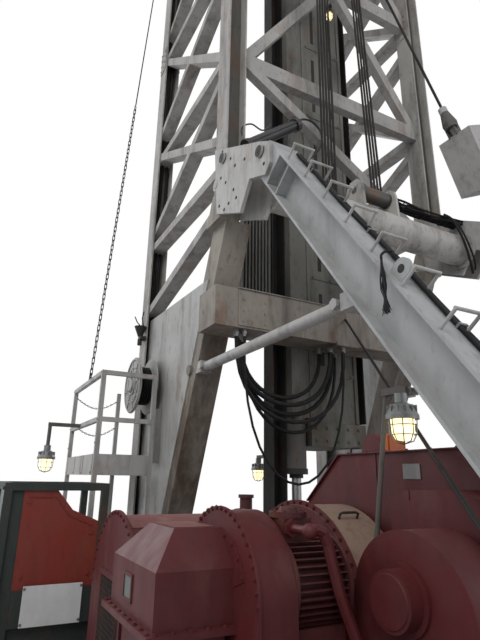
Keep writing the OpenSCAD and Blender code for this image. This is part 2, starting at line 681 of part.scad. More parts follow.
module side_hood() color(red) slab_xz([[1900, guard_z], [1900, 1950], [2030, 2000], [2360, 2010],
    [2600, 1940], [2760, 1750], [2800, guard_z]], -1340, -1170);
module chain_case() color(red) slab_xz([[700, guard_z], [700, 1700], [820, 1890], [1220, 2220],
    [2330, 2225], [2450, 2150], [2950, 1700], [2950, guard_z]], -1150, -300);

// Guarded cabinet beside the drawworks
cab_x0 = -1200;
cab_x1 = -300;
cab_y0 = -3240;
cab_in = -3090;
cab_y1 = -2420;
cab_post = 60;
module cabinet_frame() color(green) {
    for (x = [cab_x0, cab_x1 - cab_post], y = [cab_y0, cab_y1 - cab_post])
        block(x, x + cab_post, y, y + cab_post, works_z, cabinet_z);
    for (y = [cab_y0, cab_y1 - cab_post])
        block(cab_x0, cab_x1, y, y + cab_post, cabinet_z - cab_post, cabinet_z);
    for (x = [cab_x0, cab_x1 - cab_post])
        block(x, x + cab_post, cab_y0, cab_y1, cabinet_z - cab_post, cabinet_z);
    block(cab_x0 + 10, cab_x0 + 100, cab_y0, cab_y1, cabinet_z - cab_post, cabinet_z);
}
cab_mid = 1210;
module cabinet_hood() color("#8c2f24") slab_yz([[cab_in, cab_mid], [cab_y1 - cab_post, cab_mid],
    [cab_y1 - cab_post, 1690], [-2700, 1780], [-2830, cabinet_z - cab_post],
    [cab_in, cabinet_z - cab_post]],
    cab_x0 + 100, cab_x1 - 20);
module cabinet_base() color(green) {
    block(cab_x0 + cab_post, cab_x1 - cab_post, cab_y0 + cab_post, cab_y1 - cab_post, works_z, cab_mid);
    block(cab_x1 - cab_post, cab_x1, cab_in, cab_y1 - cab_post, 960, cab_mid);
}

module sign_board() color("white") block(cab_x1, cab_x1 + 8, -3010, -2570, 960, 1240);

skid_rails();
skid_cross_beams();
deck_plates();
front_legs();
rear_legs();
apex_plates();
leg_ties();
lower_cross_beam();
apex_tube();
leg_rungs();
mast_legs();
mast_left_side();
mast_right_side();
mast_front();
mast_top_frame();
base_side_plates();
inner_column();
column_rails();
hose_tray();
ram_barrel();
ram_rod();
hoist_lines();
line_brackets();
line_rollers();
anchor_block();
anchor_line();
tube_hoses();
hose_loops();
platform_floor();
platform_posts();
platform_rails();
platform_line();
reel_stand();
cable_reel();
lamp_heads();
lamp_globes();
lamp_posts();
drawworks_base();
left_drum_hood();
clutch_guard();
brake_cover();
drive_motor();
air_pipe();
middle_drum_hood();
chain_guard();
side_hood();
chain_case();
cabinet_frame();
cabinet_hood();
cabinet_base();
sign_board();
stay_line();
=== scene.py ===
import json
import math

import bmesh
import bpy
from mathutils import Matrix, Vector


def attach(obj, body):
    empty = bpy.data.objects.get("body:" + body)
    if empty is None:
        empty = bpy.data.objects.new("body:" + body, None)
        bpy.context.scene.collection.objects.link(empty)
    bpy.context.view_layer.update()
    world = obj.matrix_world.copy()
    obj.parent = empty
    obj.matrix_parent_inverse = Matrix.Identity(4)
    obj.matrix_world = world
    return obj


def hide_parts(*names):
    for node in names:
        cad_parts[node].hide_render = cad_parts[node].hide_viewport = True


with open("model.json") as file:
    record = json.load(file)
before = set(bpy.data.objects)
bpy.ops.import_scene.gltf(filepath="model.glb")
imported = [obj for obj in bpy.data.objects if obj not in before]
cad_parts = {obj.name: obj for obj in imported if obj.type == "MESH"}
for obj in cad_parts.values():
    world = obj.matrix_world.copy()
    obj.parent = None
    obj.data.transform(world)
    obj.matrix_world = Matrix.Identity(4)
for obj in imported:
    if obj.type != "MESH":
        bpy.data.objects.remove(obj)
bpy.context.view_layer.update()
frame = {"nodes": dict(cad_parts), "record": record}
nodes = frame["nodes"]

# Bodies, the signs of the mast's left and right side, and directions
RIG, REEL = "rig", "reel"
SIDES = (-1, 1)
ACROSS, UP = Vector((0, 1, 0)), Vector((0, 0, 1))

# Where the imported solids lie, in metres: +X runs from the mast to the drawworks, +Y to the mast's right side
BACK_X = -2.4                             # back legs of the mast; the front legs are at x 0
LEG_Y, LEG_OUT, LEG_IN = 1.5, 1.615, 1.385
LEG_TOP = 14.42
LEVELS = [5.25] + [6.74 + i * 1.98 for i in range(5)]
FRONT_LEG_OUT = 1.53
CHEEK_OUT = LEG_OUT + 0.035
TIE_Y, TIE_Z = 1.47, 3.16
TUBE_X, TUBE_Z, ROLLER_Z = 0.56, 4.69, 5.045
BEAM_X, BEAM_TOP, HOSE_TOP = -0.017, 3.8895, 3.48
RAIL_TOP = 0.4505                         # half a millimetre above the skid rails
COLUMN_X = -0.4495                        # half a millimetre in front of the column's face
PLATFORM_TOP, PLATFORM_Y = 2.1102, -2.32
REEL_X, REEL_Y, REEL_Z = -1.93, -1.836, 3.14
RAM_X, RAM_Y = -0.56, -0.33
# middles (x, z) of the round hoods, chain guard and motor of the drawworks
LEFT_HOOD, MIDDLE_HOOD, CLUTCH = (0.68, 1.30), (1.28, 1.29), (1.68, 1.49)
CHAIN_GUARD, MOTOR = (2.305, 1.535), (1.84, 1.55)
# rear legs, seen from the side: along the leg, up from its upper flange, and its head
REAR = Vector((0.9 - 4.1, 0, 4.8 - 0.45)).normalized()
REAR_UP = Vector((REAR.z, 0, -REAR.x))
REAR_HEAD = Vector((0.9, 0, 4.8))
REAR_AXES = (REAR_UP, ACROSS, REAR)
# lamps: x, y, z of the head's top, and size
LAMPS = [(-2.5, -2.68, 2.4, 1.0), (-2.4, 0.25, 2.33, 1.0), (1.955, -1.25, 2.56, 0.95),
         (-0.2, 0.14, 8.615, 0.65)]
# hose loops: name, y of both ends, drop, x from HOSE_X, radius
HOSE_X = BEAM_X - 0.15
LOOPS = [("a", -1.29, -0.11, 0.70, 0.0, 0.024), ("b", -1.24, -0.04, 0.79, -0.06, 0.024),
         ("c", -1.18, -0.17, 0.61, -0.12, 0.022), ("d", -1.33, 0.03, 0.88, 0.055, 0.020),
         ("e", -1.12, 0.09, 0.96, -0.175, 0.018), ("f", -1.26, -0.01, 1.48, 0.1, 0.012)]


def front_leg_x(z):
    """x of the middle of a front leg at a height."""
    return -1.96 + (z - 0.45) * 1.96 / 4.5


def make_camera():
    """The camera fitted to the photo, with its focal length in pixels of a picture 640 high."""
    yaw, pitch, roll = (math.radians(v) for v in (62.435, 17.523, 0.939))
    focal, height = 500.939, 640
    level = Vector((-math.sin(yaw), math.cos(yaw), 0))
    across = Vector((math.cos(yaw), math.sin(yaw), 0))
    ahead = level * math.cos(pitch) + UP * math.sin(pitch)
    over = UP * math.cos(pitch) - level * math.sin(pitch)
    right = across * math.cos(roll) + over * math.sin(roll)
    top = over * math.cos(roll) - across * math.sin(roll)
    data = bpy.data.cameras.new("camera")
    data.sensor_width = 36
    data.sensor_fit = "AUTO"
    data.lens = data.sensor_width * focal / height
    data.clip_end = 200
    cam = bpy.data.objects.new("camera", data)
    bpy.context.collection.objects.link(cam)
    turn = Matrix((right, top, -ahead)).transposed().to_4x4()
    cam.matrix_world = Matrix.Translation((4.211, -3.545, 2.05)) @ turn
    bpy.context.scene.camera = cam


def material(name, base, dirt, rust=(0.16, 0.065, 0.03), rough=0.6, metal=0.0, grime=0.5, rusting=0.25,
             streak=1.0, bump=0.15, low=None, spec=0.3):
    """Weathered paint or metal: base colour with a soft drift, running grime and rust patches.

    low is a stain towards the ground: height where it is full, height where it ends, and its colour.
    """
    m = bpy.data.materials.new(name)
    m.use_nodes = True
    t = m.node_tree
    n, link = t.nodes, t.links.new
    n.clear()
    out = n.new("ShaderNodeOutputMaterial")
    b = n.new("ShaderNodeBsdfPrincipled")
    link(b.outputs[0], out.inputs[0])
    b.inputs["Metallic"].default_value = metal
    b.inputs["Specular IOR Level"].default_value = spec
    place = n.new("ShaderNodeTexCoord").outputs["Object"]

    def noise(freq, stretch=(1, 1, 1), detail=6.0, seed=0.0):
        mp = n.new("ShaderNodeMapping")
        mp.inputs["Scale"].default_value = [s * freq for s in stretch]
        mp.inputs["Location"].default_value = (seed, seed * 0.7, seed * 1.3)
        link(place, mp.inputs["Vector"])
        x = n.new("ShaderNodeTexNoise")
        x.inputs["Scale"].default_value = 1.0
        x.inputs["Detail"].default_value = detail
        x.inputs["Roughness"].default_value = 0.62
        link(mp.outputs[0], x.inputs["Vector"])
        return x.outputs["Fac"]

    def ramp(value, start, end):
        r = n.new("ShaderNodeValToRGB")
        r.color_ramp.elements[0].position = start
        r.color_ramp.elements[1].position = end
        link(value, r.inputs[0])
        return r.outputs[0]

    def times(a, k):
        x = n.new("ShaderNodeMath")
        x.operation = "MULTIPLY"
        link(a, x.inputs[0])
        if isinstance(k, float):
            x.inputs[1].default_value = k
        else:
            link(k, x.inputs[1])
        return x.outputs[0]

    def blend(fac, first, second):
        x = n.new("ShaderNodeMixRGB")
        link(fac, x.inputs[0])
        for k, c in ((1, first), (2, second)):
            if isinstance(c, tuple):
                x.inputs[k].default_value = (*c, 1)
            else:
                link(c, x.inputs[k])
        return x.outputs[0]

    drift = tuple(min(1, c * 0.8 + 0.015) for c in base)
    runs = times(ramp(noise(4.2, (1, 1, 0.16 / streak), seed=9.2), 0.5, 0.78), grime)
    smears = times(ramp(noise(17, (1, 1, 0.5), 8, seed=5.5), 0.55, 0.75), grime * 0.6)
    spots = times(ramp(noise(3.4, (1, 1, 0.45), 9, seed=21.0), 0.55, 0.64), rusting)
    specks = times(ramp(noise(31, detail=5, seed=40.0), 0.62, 0.7), rusting * 0.8)
    colour = blend(ramp(noise(2.3, seed=3.1), 0.35, 0.7), base, drift)
    colour = blend(runs, colour, dirt)
    colour = blend(smears, colour, dirt)
    colour = blend(spots, colour, rust)
    colour = blend(specks, colour, tuple(c * 0.7 for c in rust))
    if low:
        full, end, stain = low
        split = n.new("ShaderNodeSeparateXYZ")
        link(place, split.inputs[0])
        span = n.new("ShaderNodeMapRange")
        link(split.outputs["Z"], span.inputs["Value"])
        span.inputs["From Min"].default_value = end
        span.inputs["From Max"].default_value = full
        patchy = times(span.outputs[0], ramp(noise(5.0, (1, 1, 0.3), seed=60.0), 0.25, 0.6))
        colour = blend(times(patchy, 0.9), colour, stain)
    link(colour, b.inputs["Base Color"])
    shine = n.new("ShaderNodeMapRange")
    link(noise(9, (1, 1, 0.4), seed=13.0), shine.inputs["Value"])
    shine.inputs["To Min"].default_value = max(0.05, rough - 0.2)
    shine.inputs["To Max"].default_value = min(1.0, rough + 0.25)
    link(shine.outputs[0], b.inputs["Roughness"])
    if bump:
        bp = n.new("ShaderNodeBump")
        bp.inputs["Strength"].default_value = bump
        bp.inputs["Distance"].default_value = 0.01
        link(noise(22, detail=7, seed=17.0), bp.inputs["Height"])
        link(bp.outputs[0], b.inputs["Normal"])
    return m


def glass_light(name):
    """Lit globe: warm glass that glows a little unevenly."""
    m = bpy.data.materials.new(name)
    m.use_nodes = True
    t = m.node_tree
    b = t.nodes["Principled BSDF"]
    b.inputs["Roughness"].default_value = 0.25
    b.inputs["Emission Strength"].default_value = 1.6
    where = t.nodes.new("ShaderNodeTexCoord")
    x = t.nodes.new("ShaderNodeTexNoise")
    x.inputs["Scale"].default_value = 14
    t.links.new(where.outputs["Object"], x.inputs["Vector"])
    r = t.nodes.new("ShaderNodeValToRGB")
    r.color_ramp.elements[0].color = (1.0, 0.72, 0.25, 1)
    r.color_ramp.elements[1].color = (1.0, 0.93, 0.66, 1)
    t.links.new(x.outputs["Fac"], r.inputs[0])
    t.links.new(r.outputs[0], b.inputs["Base Color"])
    t.links.new(r.outputs[0], b.inputs["Emission Color"])
    return m


# looks by name: base colour, dirt colour, and what differs from the usual weathering
LOOKS = {
    "pale_paint": dict(base=(0.43, 0.42, 0.40), dirt=(0.12, 0.11, 0.1), grime=0.8, rusting=0.3),
    "mast_paint": dict(base=(0.37, 0.355, 0.33), dirt=(0.085, 0.078, 0.07), rough=0.65, grime=0.95,
                       rusting=0.3),
    "leg_clean": dict(base=(0.40, 0.405, 0.40), dirt=(0.13, 0.125, 0.12), grime=0.6, rusting=0.15),
    "tube_paint": dict(base=(0.45, 0.43, 0.40), dirt=(0.06, 0.05, 0.04), rough=0.55, grime=1.0, rusting=0.45,
                       streak=0.5),
    "plate_paint": dict(base=(0.42, 0.415, 0.395), dirt=(0.11, 0.1, 0.085), rough=0.65, grime=0.75,
                        rusting=0.35),
    "skid_paint": dict(base=(0.18, 0.165, 0.145), dirt=(0.05, 0.042, 0.035), rough=0.65, grime=0.8,
                       rusting=0.6),
    "leg_paint": dict(base=(0.29, 0.262, 0.22), dirt=(0.06, 0.047, 0.036), rough=0.65, grime=1.0,
                      rusting=0.55, low=(2.4, 4.4, (0.07, 0.045, 0.032))),
    "column_paint": dict(base=(0.19, 0.188, 0.168), dirt=(0.05, 0.045, 0.038), rough=0.65, grime=1.0,
                         rusting=0.4, low=(2.0, 5.2, (0.055, 0.05, 0.035))),
    # dark steel; on the column's slots and the lugs' eyes it is painted shade
    "dark_steel": dict(base=(0.035, 0.033, 0.031), dirt=(0.015, 0.014, 0.012), metal=0.1, grime=0.7,
                       spec=0.2),
    "bright_rod": dict(base=(0.3, 0.305, 0.31), dirt=(0.16, 0.155, 0.15), rough=0.36, metal=0.85, grime=0.3,
                       rusting=0.05, bump=0.03, spec=0.4),
    "wire": dict(base=(0.022, 0.021, 0.02), dirt=(0.011, 0.01, 0.01), metal=0.1, grime=0.6, rusting=0.12,
                 bump=0.4, spec=0.12),
    "roller_steel": dict(base=(0.08, 0.074, 0.068), dirt=(0.03, 0.027, 0.024), rough=0.5, metal=0.5,
                         grime=0.8, rusting=0.5, spec=0.4),
    "hose_rubber": dict(base=(0.012, 0.012, 0.013), dirt=(0.026, 0.024, 0.023), rust=(0.06, 0.05, 0.04),
                        grime=0.25, rusting=0.0, spec=0.12),
    "deck": dict(base=(0.12, 0.125, 0.112), dirt=(0.04, 0.036, 0.032), rough=0.65, metal=0.2, grime=0.9,
                 rusting=0.6, spec=0.4),
    "lamp_metal": dict(base=(0.21, 0.215, 0.21), dirt=(0.08, 0.08, 0.075), rough=0.45, metal=0.5, grime=0.6,
                       rusting=0.15, spec=0.4),
    "works_red": dict(base=(0.09, 0.0105, 0.012), dirt=(0.034, 0.009, 0.009), rust=(0.15, 0.075, 0.066),
                      rough=0.5, grime=0.7, rusting=0.2, bump=0.08),
    # lighter pink for the tops of the works' hoods and guards: painted highlight
    "works_top_highlight": dict(base=(0.2, 0.075, 0.067), dirt=(0.085, 0.018, 0.018), rust=(0.3, 0.18, 0.15),
                        rough=0.55, grime=0.6, rusting=0.4, bump=0.06),
    "works_tan": dict(base=(0.30, 0.212, 0.16), dirt=(0.14, 0.05, 0.045), rust=(0.17, 0.03, 0.03), rough=0.5,
                      grime=0.7, rusting=0.55, bump=0.08),
    "motor_paint": dict(base=(0.075, 0.014, 0.014), dirt=(0.022, 0.009, 0.009), rough=0.5, grime=0.9,
                        rusting=0.3),
    "cabinet_green": dict(base=(0.018, 0.026, 0.023), dirt=(0.009, 0.011, 0.01), rough=0.55, grime=0.6,
                          rusting=0.2),
    "hood_red": dict(base=(0.19, 0.024, 0.014), dirt=(0.075, 0.013, 0.01), rough=0.5, grime=0.7,
                     rusting=0.2),
    "blank_white": dict(base=(0.62, 0.62, 0.61), dirt=(0.33, 0.31, 0.28), rough=0.55, grime=0.4, rusting=0.1,
                        bump=0.05),
    "grey_glass": dict(base=(0.13, 0.165, 0.145), dirt=(0.07, 0.08, 0.07), rough=0.3, rusting=0.0, bump=0.0,
                       spec=0.4),
    # dark grime; on the webs between the mast legs' flanges it is painted shade
    "dark_grime_and_shade": dict(base=(0.115, 0.108, 0.096), dirt=(0.032, 0.029, 0.025), rough=0.65, grime=1.0,
                      rusting=0.35),
    "black_paint": dict(base=(0.016, 0.017, 0.02), dirt=(0.03, 0.028, 0.026), rough=0.4, rusting=0.05,
                        spec=0.4),
    "orange": dict(base=(0.55, 0.14, 0.035), dirt=(0.2, 0.06, 0.025), rough=0.5, grime=0.4, rusting=0.1,
                   spec=0.4),
}
MATS = {name: material(name, **look) for name, look in LOOKS.items()}
MATS["lamp_glass"] = glass_light("lamp_glass")

# nodes that wear another look than the one named after their slot
OWN_LOOK = {"mast_legs": "mast_paint", "mast_left_side": "mast_paint", "mast_right_side": "mast_paint",
            "mast_front": "mast_paint", "mast_top_frame": "mast_paint", "rear_legs": "leg_clean",
            "apex_tube": "tube_paint", "line_brackets": "tube_paint", "ram_barrel": "dark_grime_and_shade",
            "lamp_posts": "dark_grime_and_shade"}


def paint_nodes():
    for part in frame["record"]["subparts"]:
        for s in nodes[part["node"]].material_slots:
            s.material = MATS[OWN_LOOK.get(part["node"], part["material_slot"])]


def around(count):
    """Angles of a full turn in equal steps."""
    return [2 * math.pi * k / count for k in range(count)]


def smooth(points, steps=10):
    """Points along a smooth curve through the given ones."""
    pts = [Vector(p) for p in points]
    out = []
    k = len(pts)
    for i in range(k - 1):
        p0, p1, p2, p3 = pts[max(i - 1, 0)], pts[i], pts[i + 1], pts[min(i + 2, k - 1)]
        for j in range(steps):
            t = j / steps
            out.append(0.5 * ((2 * p1) + (p2 - p0) * t + (2 * p0 - 5 * p1 + 4 * p2 - p3) * t * t
                              + (3 * p1 - p0 - 3 * p2 + p3) * t ** 3))
    out.append(pts[-1])
    return out


class Piece:
    """Collects shapes into one mesh, then rides on its body."""

    def __init__(self, name, look, slot=None, body=RIG):
        self.name, self.look, self.slot, self.body = name, look, slot or look, body
        self.bm = bmesh.new()

    def box(self, lo, hi, turn=None, bevel=0.0):
        """Box between two corners, turned about its middle if asked."""
        lo, hi = Vector(lo), Vector(hi)
        place = Matrix.Translation((lo + hi) / 2) @ (turn or Matrix()) @ Matrix.Diagonal((*(hi - lo), 1))
        made = bmesh.ops.create_cube(self.bm, size=1, matrix=place)
        if bevel:
            edges = {e for v in made["verts"] for e in v.link_edges}
            bmesh.ops.bevel(self.bm, geom=list(edges), offset=bevel, segments=2, affect="EDGES")

    def box_y(self, x0, x1, ya, yb, z0, z1):
        """Box between two values of Y in either order."""
        lo, hi = sorted((ya, yb))
        self.box((x0, lo, z0), (x1, hi, z1))

    def obox(self, mid, size, axes):
        """Box about a middle with its own three unit axes."""
        r = Matrix([Vector(a) for a in axes]).transposed().to_4x4()
        place = Matrix.Translation(mid) @ r @ Matrix.Diagonal((*size, 1))
        bmesh.ops.create_cube(self.bm, size=1, matrix=place)

    def rod(self, a, b, r, r2=None, sides=12):
        """Round bar or cone from a to b."""
        a, b = Vector(a), Vector(b)
        d = b - a
        place = Matrix.Translation((a + b) / 2) @ d.to_track_quat("Z", "Y").to_matrix().to_4x4()
        bmesh.ops.create_cone(self.bm, cap_ends=True, segments=sides, radius1=r,
                              radius2=r if r2 is None else r2, depth=d.length, matrix=place)

    def bolt(self, at, axis, r=0.016, h=0.012):
        """Hexagon head on a washer, standing out along an axis."""
        at, axis = Vector(at), Vector(axis).normalized()
        seat = at + axis * h * 0.35
        self.rod(at, seat, r * 1.5, sides=14)
        self.rod(seat, at + axis * h, r, r * 0.94, sides=6)

    def bolt_circle(self, middle, y, radius, count, out, r, h, start=0.0):
        """Bolts on a circle about the Y axis; out is -1 or +1, the way they face."""
        for a in around(count):
            x, z = middle[0] + radius * math.cos(a + start), middle[1] + radius * math.sin(a + start)
            self.bolt((x, y, z), (0, out, 0), r, h)

    def tube(self, pts, r, sides=8, closed=False):
        """Round tube along points."""
        pts = [Vector(p) for p in pts]
        k = len(pts)
        rings = []
        prev = None
        for i, p in enumerate(pts):
            if closed:
                d = (pts[(i + 1) % k] - pts[i - 1]).normalized()
            else:
                d = (pts[min(i + 1, k - 1)] - pts[max(i - 1, 0)]).normalized()
            u = (prev - d * prev.dot(d)) if prev else d.cross(Vector((0.3, 0.2, 1)).normalized())
            if u.length < 1e-5:
                u = d.orthogonal()
            u.normalize()
            prev = u
            v = d.cross(u)
            rings.append([self.bm.verts.new(p + (u * math.cos(a) + v * math.sin(a)) * r)
                          for a in around(sides)])
        for i in range(k if closed else k - 1):
            a, b = rings[i], rings[(i + 1) % k]
            for s in range(sides):
                self.bm.faces.new((a[s], a[(s + 1) % sides], b[(s + 1) % sides], b[s]))
        if not closed:
            self.bm.faces.new(rings[0][::-1])
            self.bm.faces.new(rings[-1])

    def arc_band(self, middle, r0, r1, y0, y1, a0, a1, steps=40):
        """Curved flat bar between two radii about the Y axis, from angle a0 to a1 in degrees."""
        rings = []
        for i in range(steps + 1):
            a = math.radians(a0 + (a1 - a0) * i / steps)
            c, s = math.cos(a), math.sin(a)
            rings.append([self.bm.verts.new((middle[0] + r * c, y, middle[1] + r * s))
                          for r, y in ((r0, y0), (r1, y0), (r1, y1), (r0, y1))])
        for i in range(steps):
            a, b = rings[i], rings[i + 1]
            for k in range(4):
                self.bm.faces.new((a[k], b[k], b[(k + 1) % 4], a[(k + 1) % 4]))
        self.bm.faces.new(rings[0])
        self.bm.faces.new(rings[-1][::-1])

    def plate(self, pts, y0, y1):
        """Flat plate between two values of Y, with its outline as (x, z) points."""
        a = [self.bm.verts.new((x, y0, z)) for x, z in pts]
        b = [self.bm.verts.new((x, y1, z)) for x, z in pts]
        self.bm.faces.new(a)
        self.bm.faces.new(b[::-1])
        k = len(pts)
        for i in range(k):
            self.bm.faces.new((a[i], b[i], b[(i + 1) % k], a[(i + 1) % k]))

    def done(self, smooth=True, replaces=()):
        """Makes the object and gives it its look and body."""
        bmesh.ops.recalc_face_normals(self.bm, faces=self.bm.faces)
        mesh = bpy.data.meshes.new(self.name)
        self.bm.to_mesh(mesh)
        self.bm.free()
        obj = bpy.data.objects.new(self.name, mesh)
        bpy.context.collection.objects.link(obj)
        mesh.materials.append(MATS[self.look])
        if smooth:
            mesh.shade_smooth()
            mesh.set_sharp_from_angle(angle=math.radians(38))
        if replaces:
            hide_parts(*replaces)
        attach(obj, self.body)
        return obj


def mast_details():
    gussets = Piece("mast_gussets", "mast_paint", "pale_paint")
    welds = Piece("mast_welds", "leg_paint")
    for s in SIDES:
        y = s * (LEG_Y + 0.0905)
        for i, z in enumerate(LEVELS[:-1]):
            size = 0.10 if i % 2 == 0 else 0.07
            for x, d in ((-0.008, -1), (BACK_X + 0.008, 1)):
                reach = x + d * size * 1.3
                outline = [(x, z - size * 0.8), (reach, z - 0.06), (reach, z + 0.06), (x, z + size * 0.9)]
                gussets.plate(outline, *sorted((y, y + s * 0.004)))
                for dz in (-0.065, 0.065):
                    welds.tube([(x + d * 0.003, y - s * k * 0.02, z + dz) for k in range(5)], 0.006, 6)
    gussets.done()
    welds.done()
    # webs between the flanges of the mast's legs, darkened with painted shade
    webs = Piece("leg_web_shade", "dark_grime_and_shade", "pale_paint")
    for s in SIDES:
        for x, foot in ((0.0, 5.5), (BACK_X, 0.46)):
            for z0, z1 in ((foot, 8.6), (8.6, 11.5), (11.5, 14.4)):
                webs.box_y(x + 0.0075, x + 0.0095, s * 1.4055, s * 1.5945, z0, z1)
    webs.done(smooth=False)
    pipes = Piece("mast_leg_hoses", "hose_rubber")
    for y, r, top in ((-1.46, 0.022, 14.3), (-1.52, 0.017, 14.3), (-1.56, 0.013, 11.0)):
        pts = [(BACK_X + 0.034 + 0.006 * math.sin(k * 1.3), y + 0.01 * math.sin(k * 0.9 + y * 40),
                0.5 + k * (top - 0.5) / 26) for k in range(27)]
        pipes.tube(smooth(pts, 3), r, 8)
    pipes.done()
    # bolted splice plates at two levels
    splices = Piece("mast_leg_bolts", "mast_paint", "pale_paint")
    for s in SIDES:
        for x in (0.0, BACK_X):
            for z in (8.72, 12.68):
                for face, n in ((LEG_OUT, s), (LEG_IN, -s)):
                    y = s * face
                    splices.box_y(x - 0.11, x + 0.11, y, y + n * 0.012, z - 0.22, z + 0.22)
                    for dz in (-0.17, -0.06, 0.06, 0.17):
                        for dx in (-0.07, 0.07):
                            splices.bolt((x + dx, y + n * 0.012, z + dz), (0, n, 0), 0.014, 0.014)
    splices.done()
    top = Piece("mast_top_bolts", "mast_paint", "pale_paint")
    for s in SIDES:
        for x in (BACK_X, -1.15, -0.6, 0.0, 0.2):
            for dz in (0.06, 0.16):
                for dx in (-0.04, 0.04):
                    top.bolt((x + dx, s * LEG_OUT, LEG_TOP + dz), (0, s, 0), 0.013, 0.012)
    top.done()


def apex_details():
    bolts = Piece("apex_bolts", "dark_steel")
    bosses = Piece("apex_stiffeners", "plate_paint")
    for s in SIDES:
        y = s * CHEEK_OUT
        for x, z in ((0.1, 5.02), (0.22, 4.9), (0.42, 4.98), (0.62, 4.93), (0.3, 4.62), (0.46, 4.6),
                     (0.4, 4.72), (0.98, 4.66), (0.08, 4.7), (0.2, 4.6), (0.32, 5.12), (0.12, 5.33)):
            bolts.rod((x, y - s * 0.001, z), (x, y + s * 0.003, z), 0.017, sides=20)
            bolts.rod((x, y + s * 0.003, z), (x, y + s * 0.006, z), 0.011, sides=6)
        # ends of the two pins
        for x, z in ((0.16, 5.22), (0.93, 4.81)):
            bolts.rod((x, y, z), (x, y + s * 0.034, z), 0.056, 0.052, sides=40)
            bolts.rod((x, y + s * 0.034, z), (x, y + s * 0.038, z), 0.02, 0.016, sides=24)
        bosses.rod((-0.02, y, 5.01), (-0.02, y + s * 0.008, 5.01), 0.05, 0.046, sides=28)
    bolts.done()
    bosses.done()


def leg_details():
    front = Piece("front_leg_plates", "leg_paint")
    pin_x = front_leg_x(TIE_Z) - 0.01
    shoe_top = 0.475
    for s in SIDES:
        # foot shoe on the skid rail, and the boss of the level tie
        front.box_y(-2.24, -1.68, s * 1.22, s * 1.55, RAIL_TOP, shoe_top)
        for x in (-2.21, -1.71):
            for dy in (-0.1, 0.0, 0.1):
                front.bolt((x, s * 1.385 + dy, shoe_top), UP, 0.016, 0.02)
        boss = Vector((pin_x, s * FRONT_LEG_OUT, TIE_Z))
        front.rod(boss, boss + ACROSS * s * 0.03, 0.055, sides=28)
    front.done()
    rear = Piece("rear_leg_stiffeners", "leg_clean", "pale_paint")
    eyes = Piece("lug_hole_shade", "dark_steel")
    plate_top = RAIL_TOP + 0.022
    for s in SIDES:
        for side in SIDES:
            at = REAR_HEAD - REAR * 0.52 + Vector((0, s * LEG_Y + side * 0.064, 0))
            rear.obox(at, (0.258, 0.1, 0.012), REAR_AXES)
        # lug plate and its eye on the upper flange; the eye's hole is a dark disc, painted shade
        lug = REAR_HEAD - REAR * 2.17 + REAR_UP * 0.15 + Vector((0, s * (LEG_Y + 0.06), 0))
        eye = lug + REAR_UP * 0.056
        rear.obox(lug + REAR_UP * 0.028, (0.056, 0.022, 0.13), REAR_AXES)
        rear.rod(eye - ACROSS * 0.012, eye + ACROSS * 0.012, 0.065, sides=32)
        eyes.rod(eye - ACROSS * 0.0135, eye + ACROSS * 0.0135, 0.026, sides=24)
        # foot plate on the skid rail
        rear.box_y(3.86, 4.36, s * 1.35, s * 1.65, RAIL_TOP, plate_top)
        for x in (3.89, 4.33):
            for dy in (-0.11, 0.11):
                rear.bolt((x, s * LEG_Y + dy, plate_top), UP, 0.016, 0.02)
    rear.done()
    eyes.done()


def beam_details():
    beam = Piece("cross_beam_fittings", "leg_paint")
    for y in (-1.3, -1.05, 1.05, 1.3):
        for z in (3.55, 3.66, 3.78):
            beam.bolt((BEAM_X, y, z), (1, 0, 0), 0.017, 0.018)
    for s in SIDES:
        beam.box_y(BEAM_X, BEAM_X + 0.012, s * 1.0, s * 1.36, 3.5, 3.87)
        beam.box_y(BEAM_X - 0.4, BEAM_X - 0.02, s * 0.98, s * 1.38, BEAM_TOP, BEAM_TOP + 0.0125)
    beam.box((BEAM_X - 0.4, -1.37, BEAM_TOP), (BEAM_X + 0.02, 1.37, BEAM_TOP + 0.0105))
    beam.box((BEAM_X - 0.37, -0.14, HOSE_TOP - 0.02), (BEAM_X + 0.012, 0.17, HOSE_TOP + 0.02), bevel=0.004)
    beam.done()
    flanges = Piece("tube_flanges", "tube_paint", "pale_paint")
    for s in SIDES:
        y = s * 1.33
        flanges.rod((TUBE_X, y - 0.014, TUBE_Z), (TUBE_X, y + 0.014, TUBE_Z), 0.21, sides=64)
        flanges.bolt_circle((TUBE_X, TUBE_Z), y - s * 0.014, 0.192, 12, -s, 0.009, 0.012, start=0.2)
    flanges.done()
    ties = Piece("tie_clevises", "pale_paint")
    for s in SIDES:
        for x in (-0.5, 1.72):
            ties.rod((x, s * (TIE_Y - 0.075), TIE_Z), (x, s * (TIE_Y + 0.075), TIE_Z), 0.03, sides=24)
            ties.rod((x, s * (TIE_Y + 0.06), TIE_Z), (x, s * (TIE_Y + 0.085), TIE_Z), 0.042, sides=6)
    ties.done()


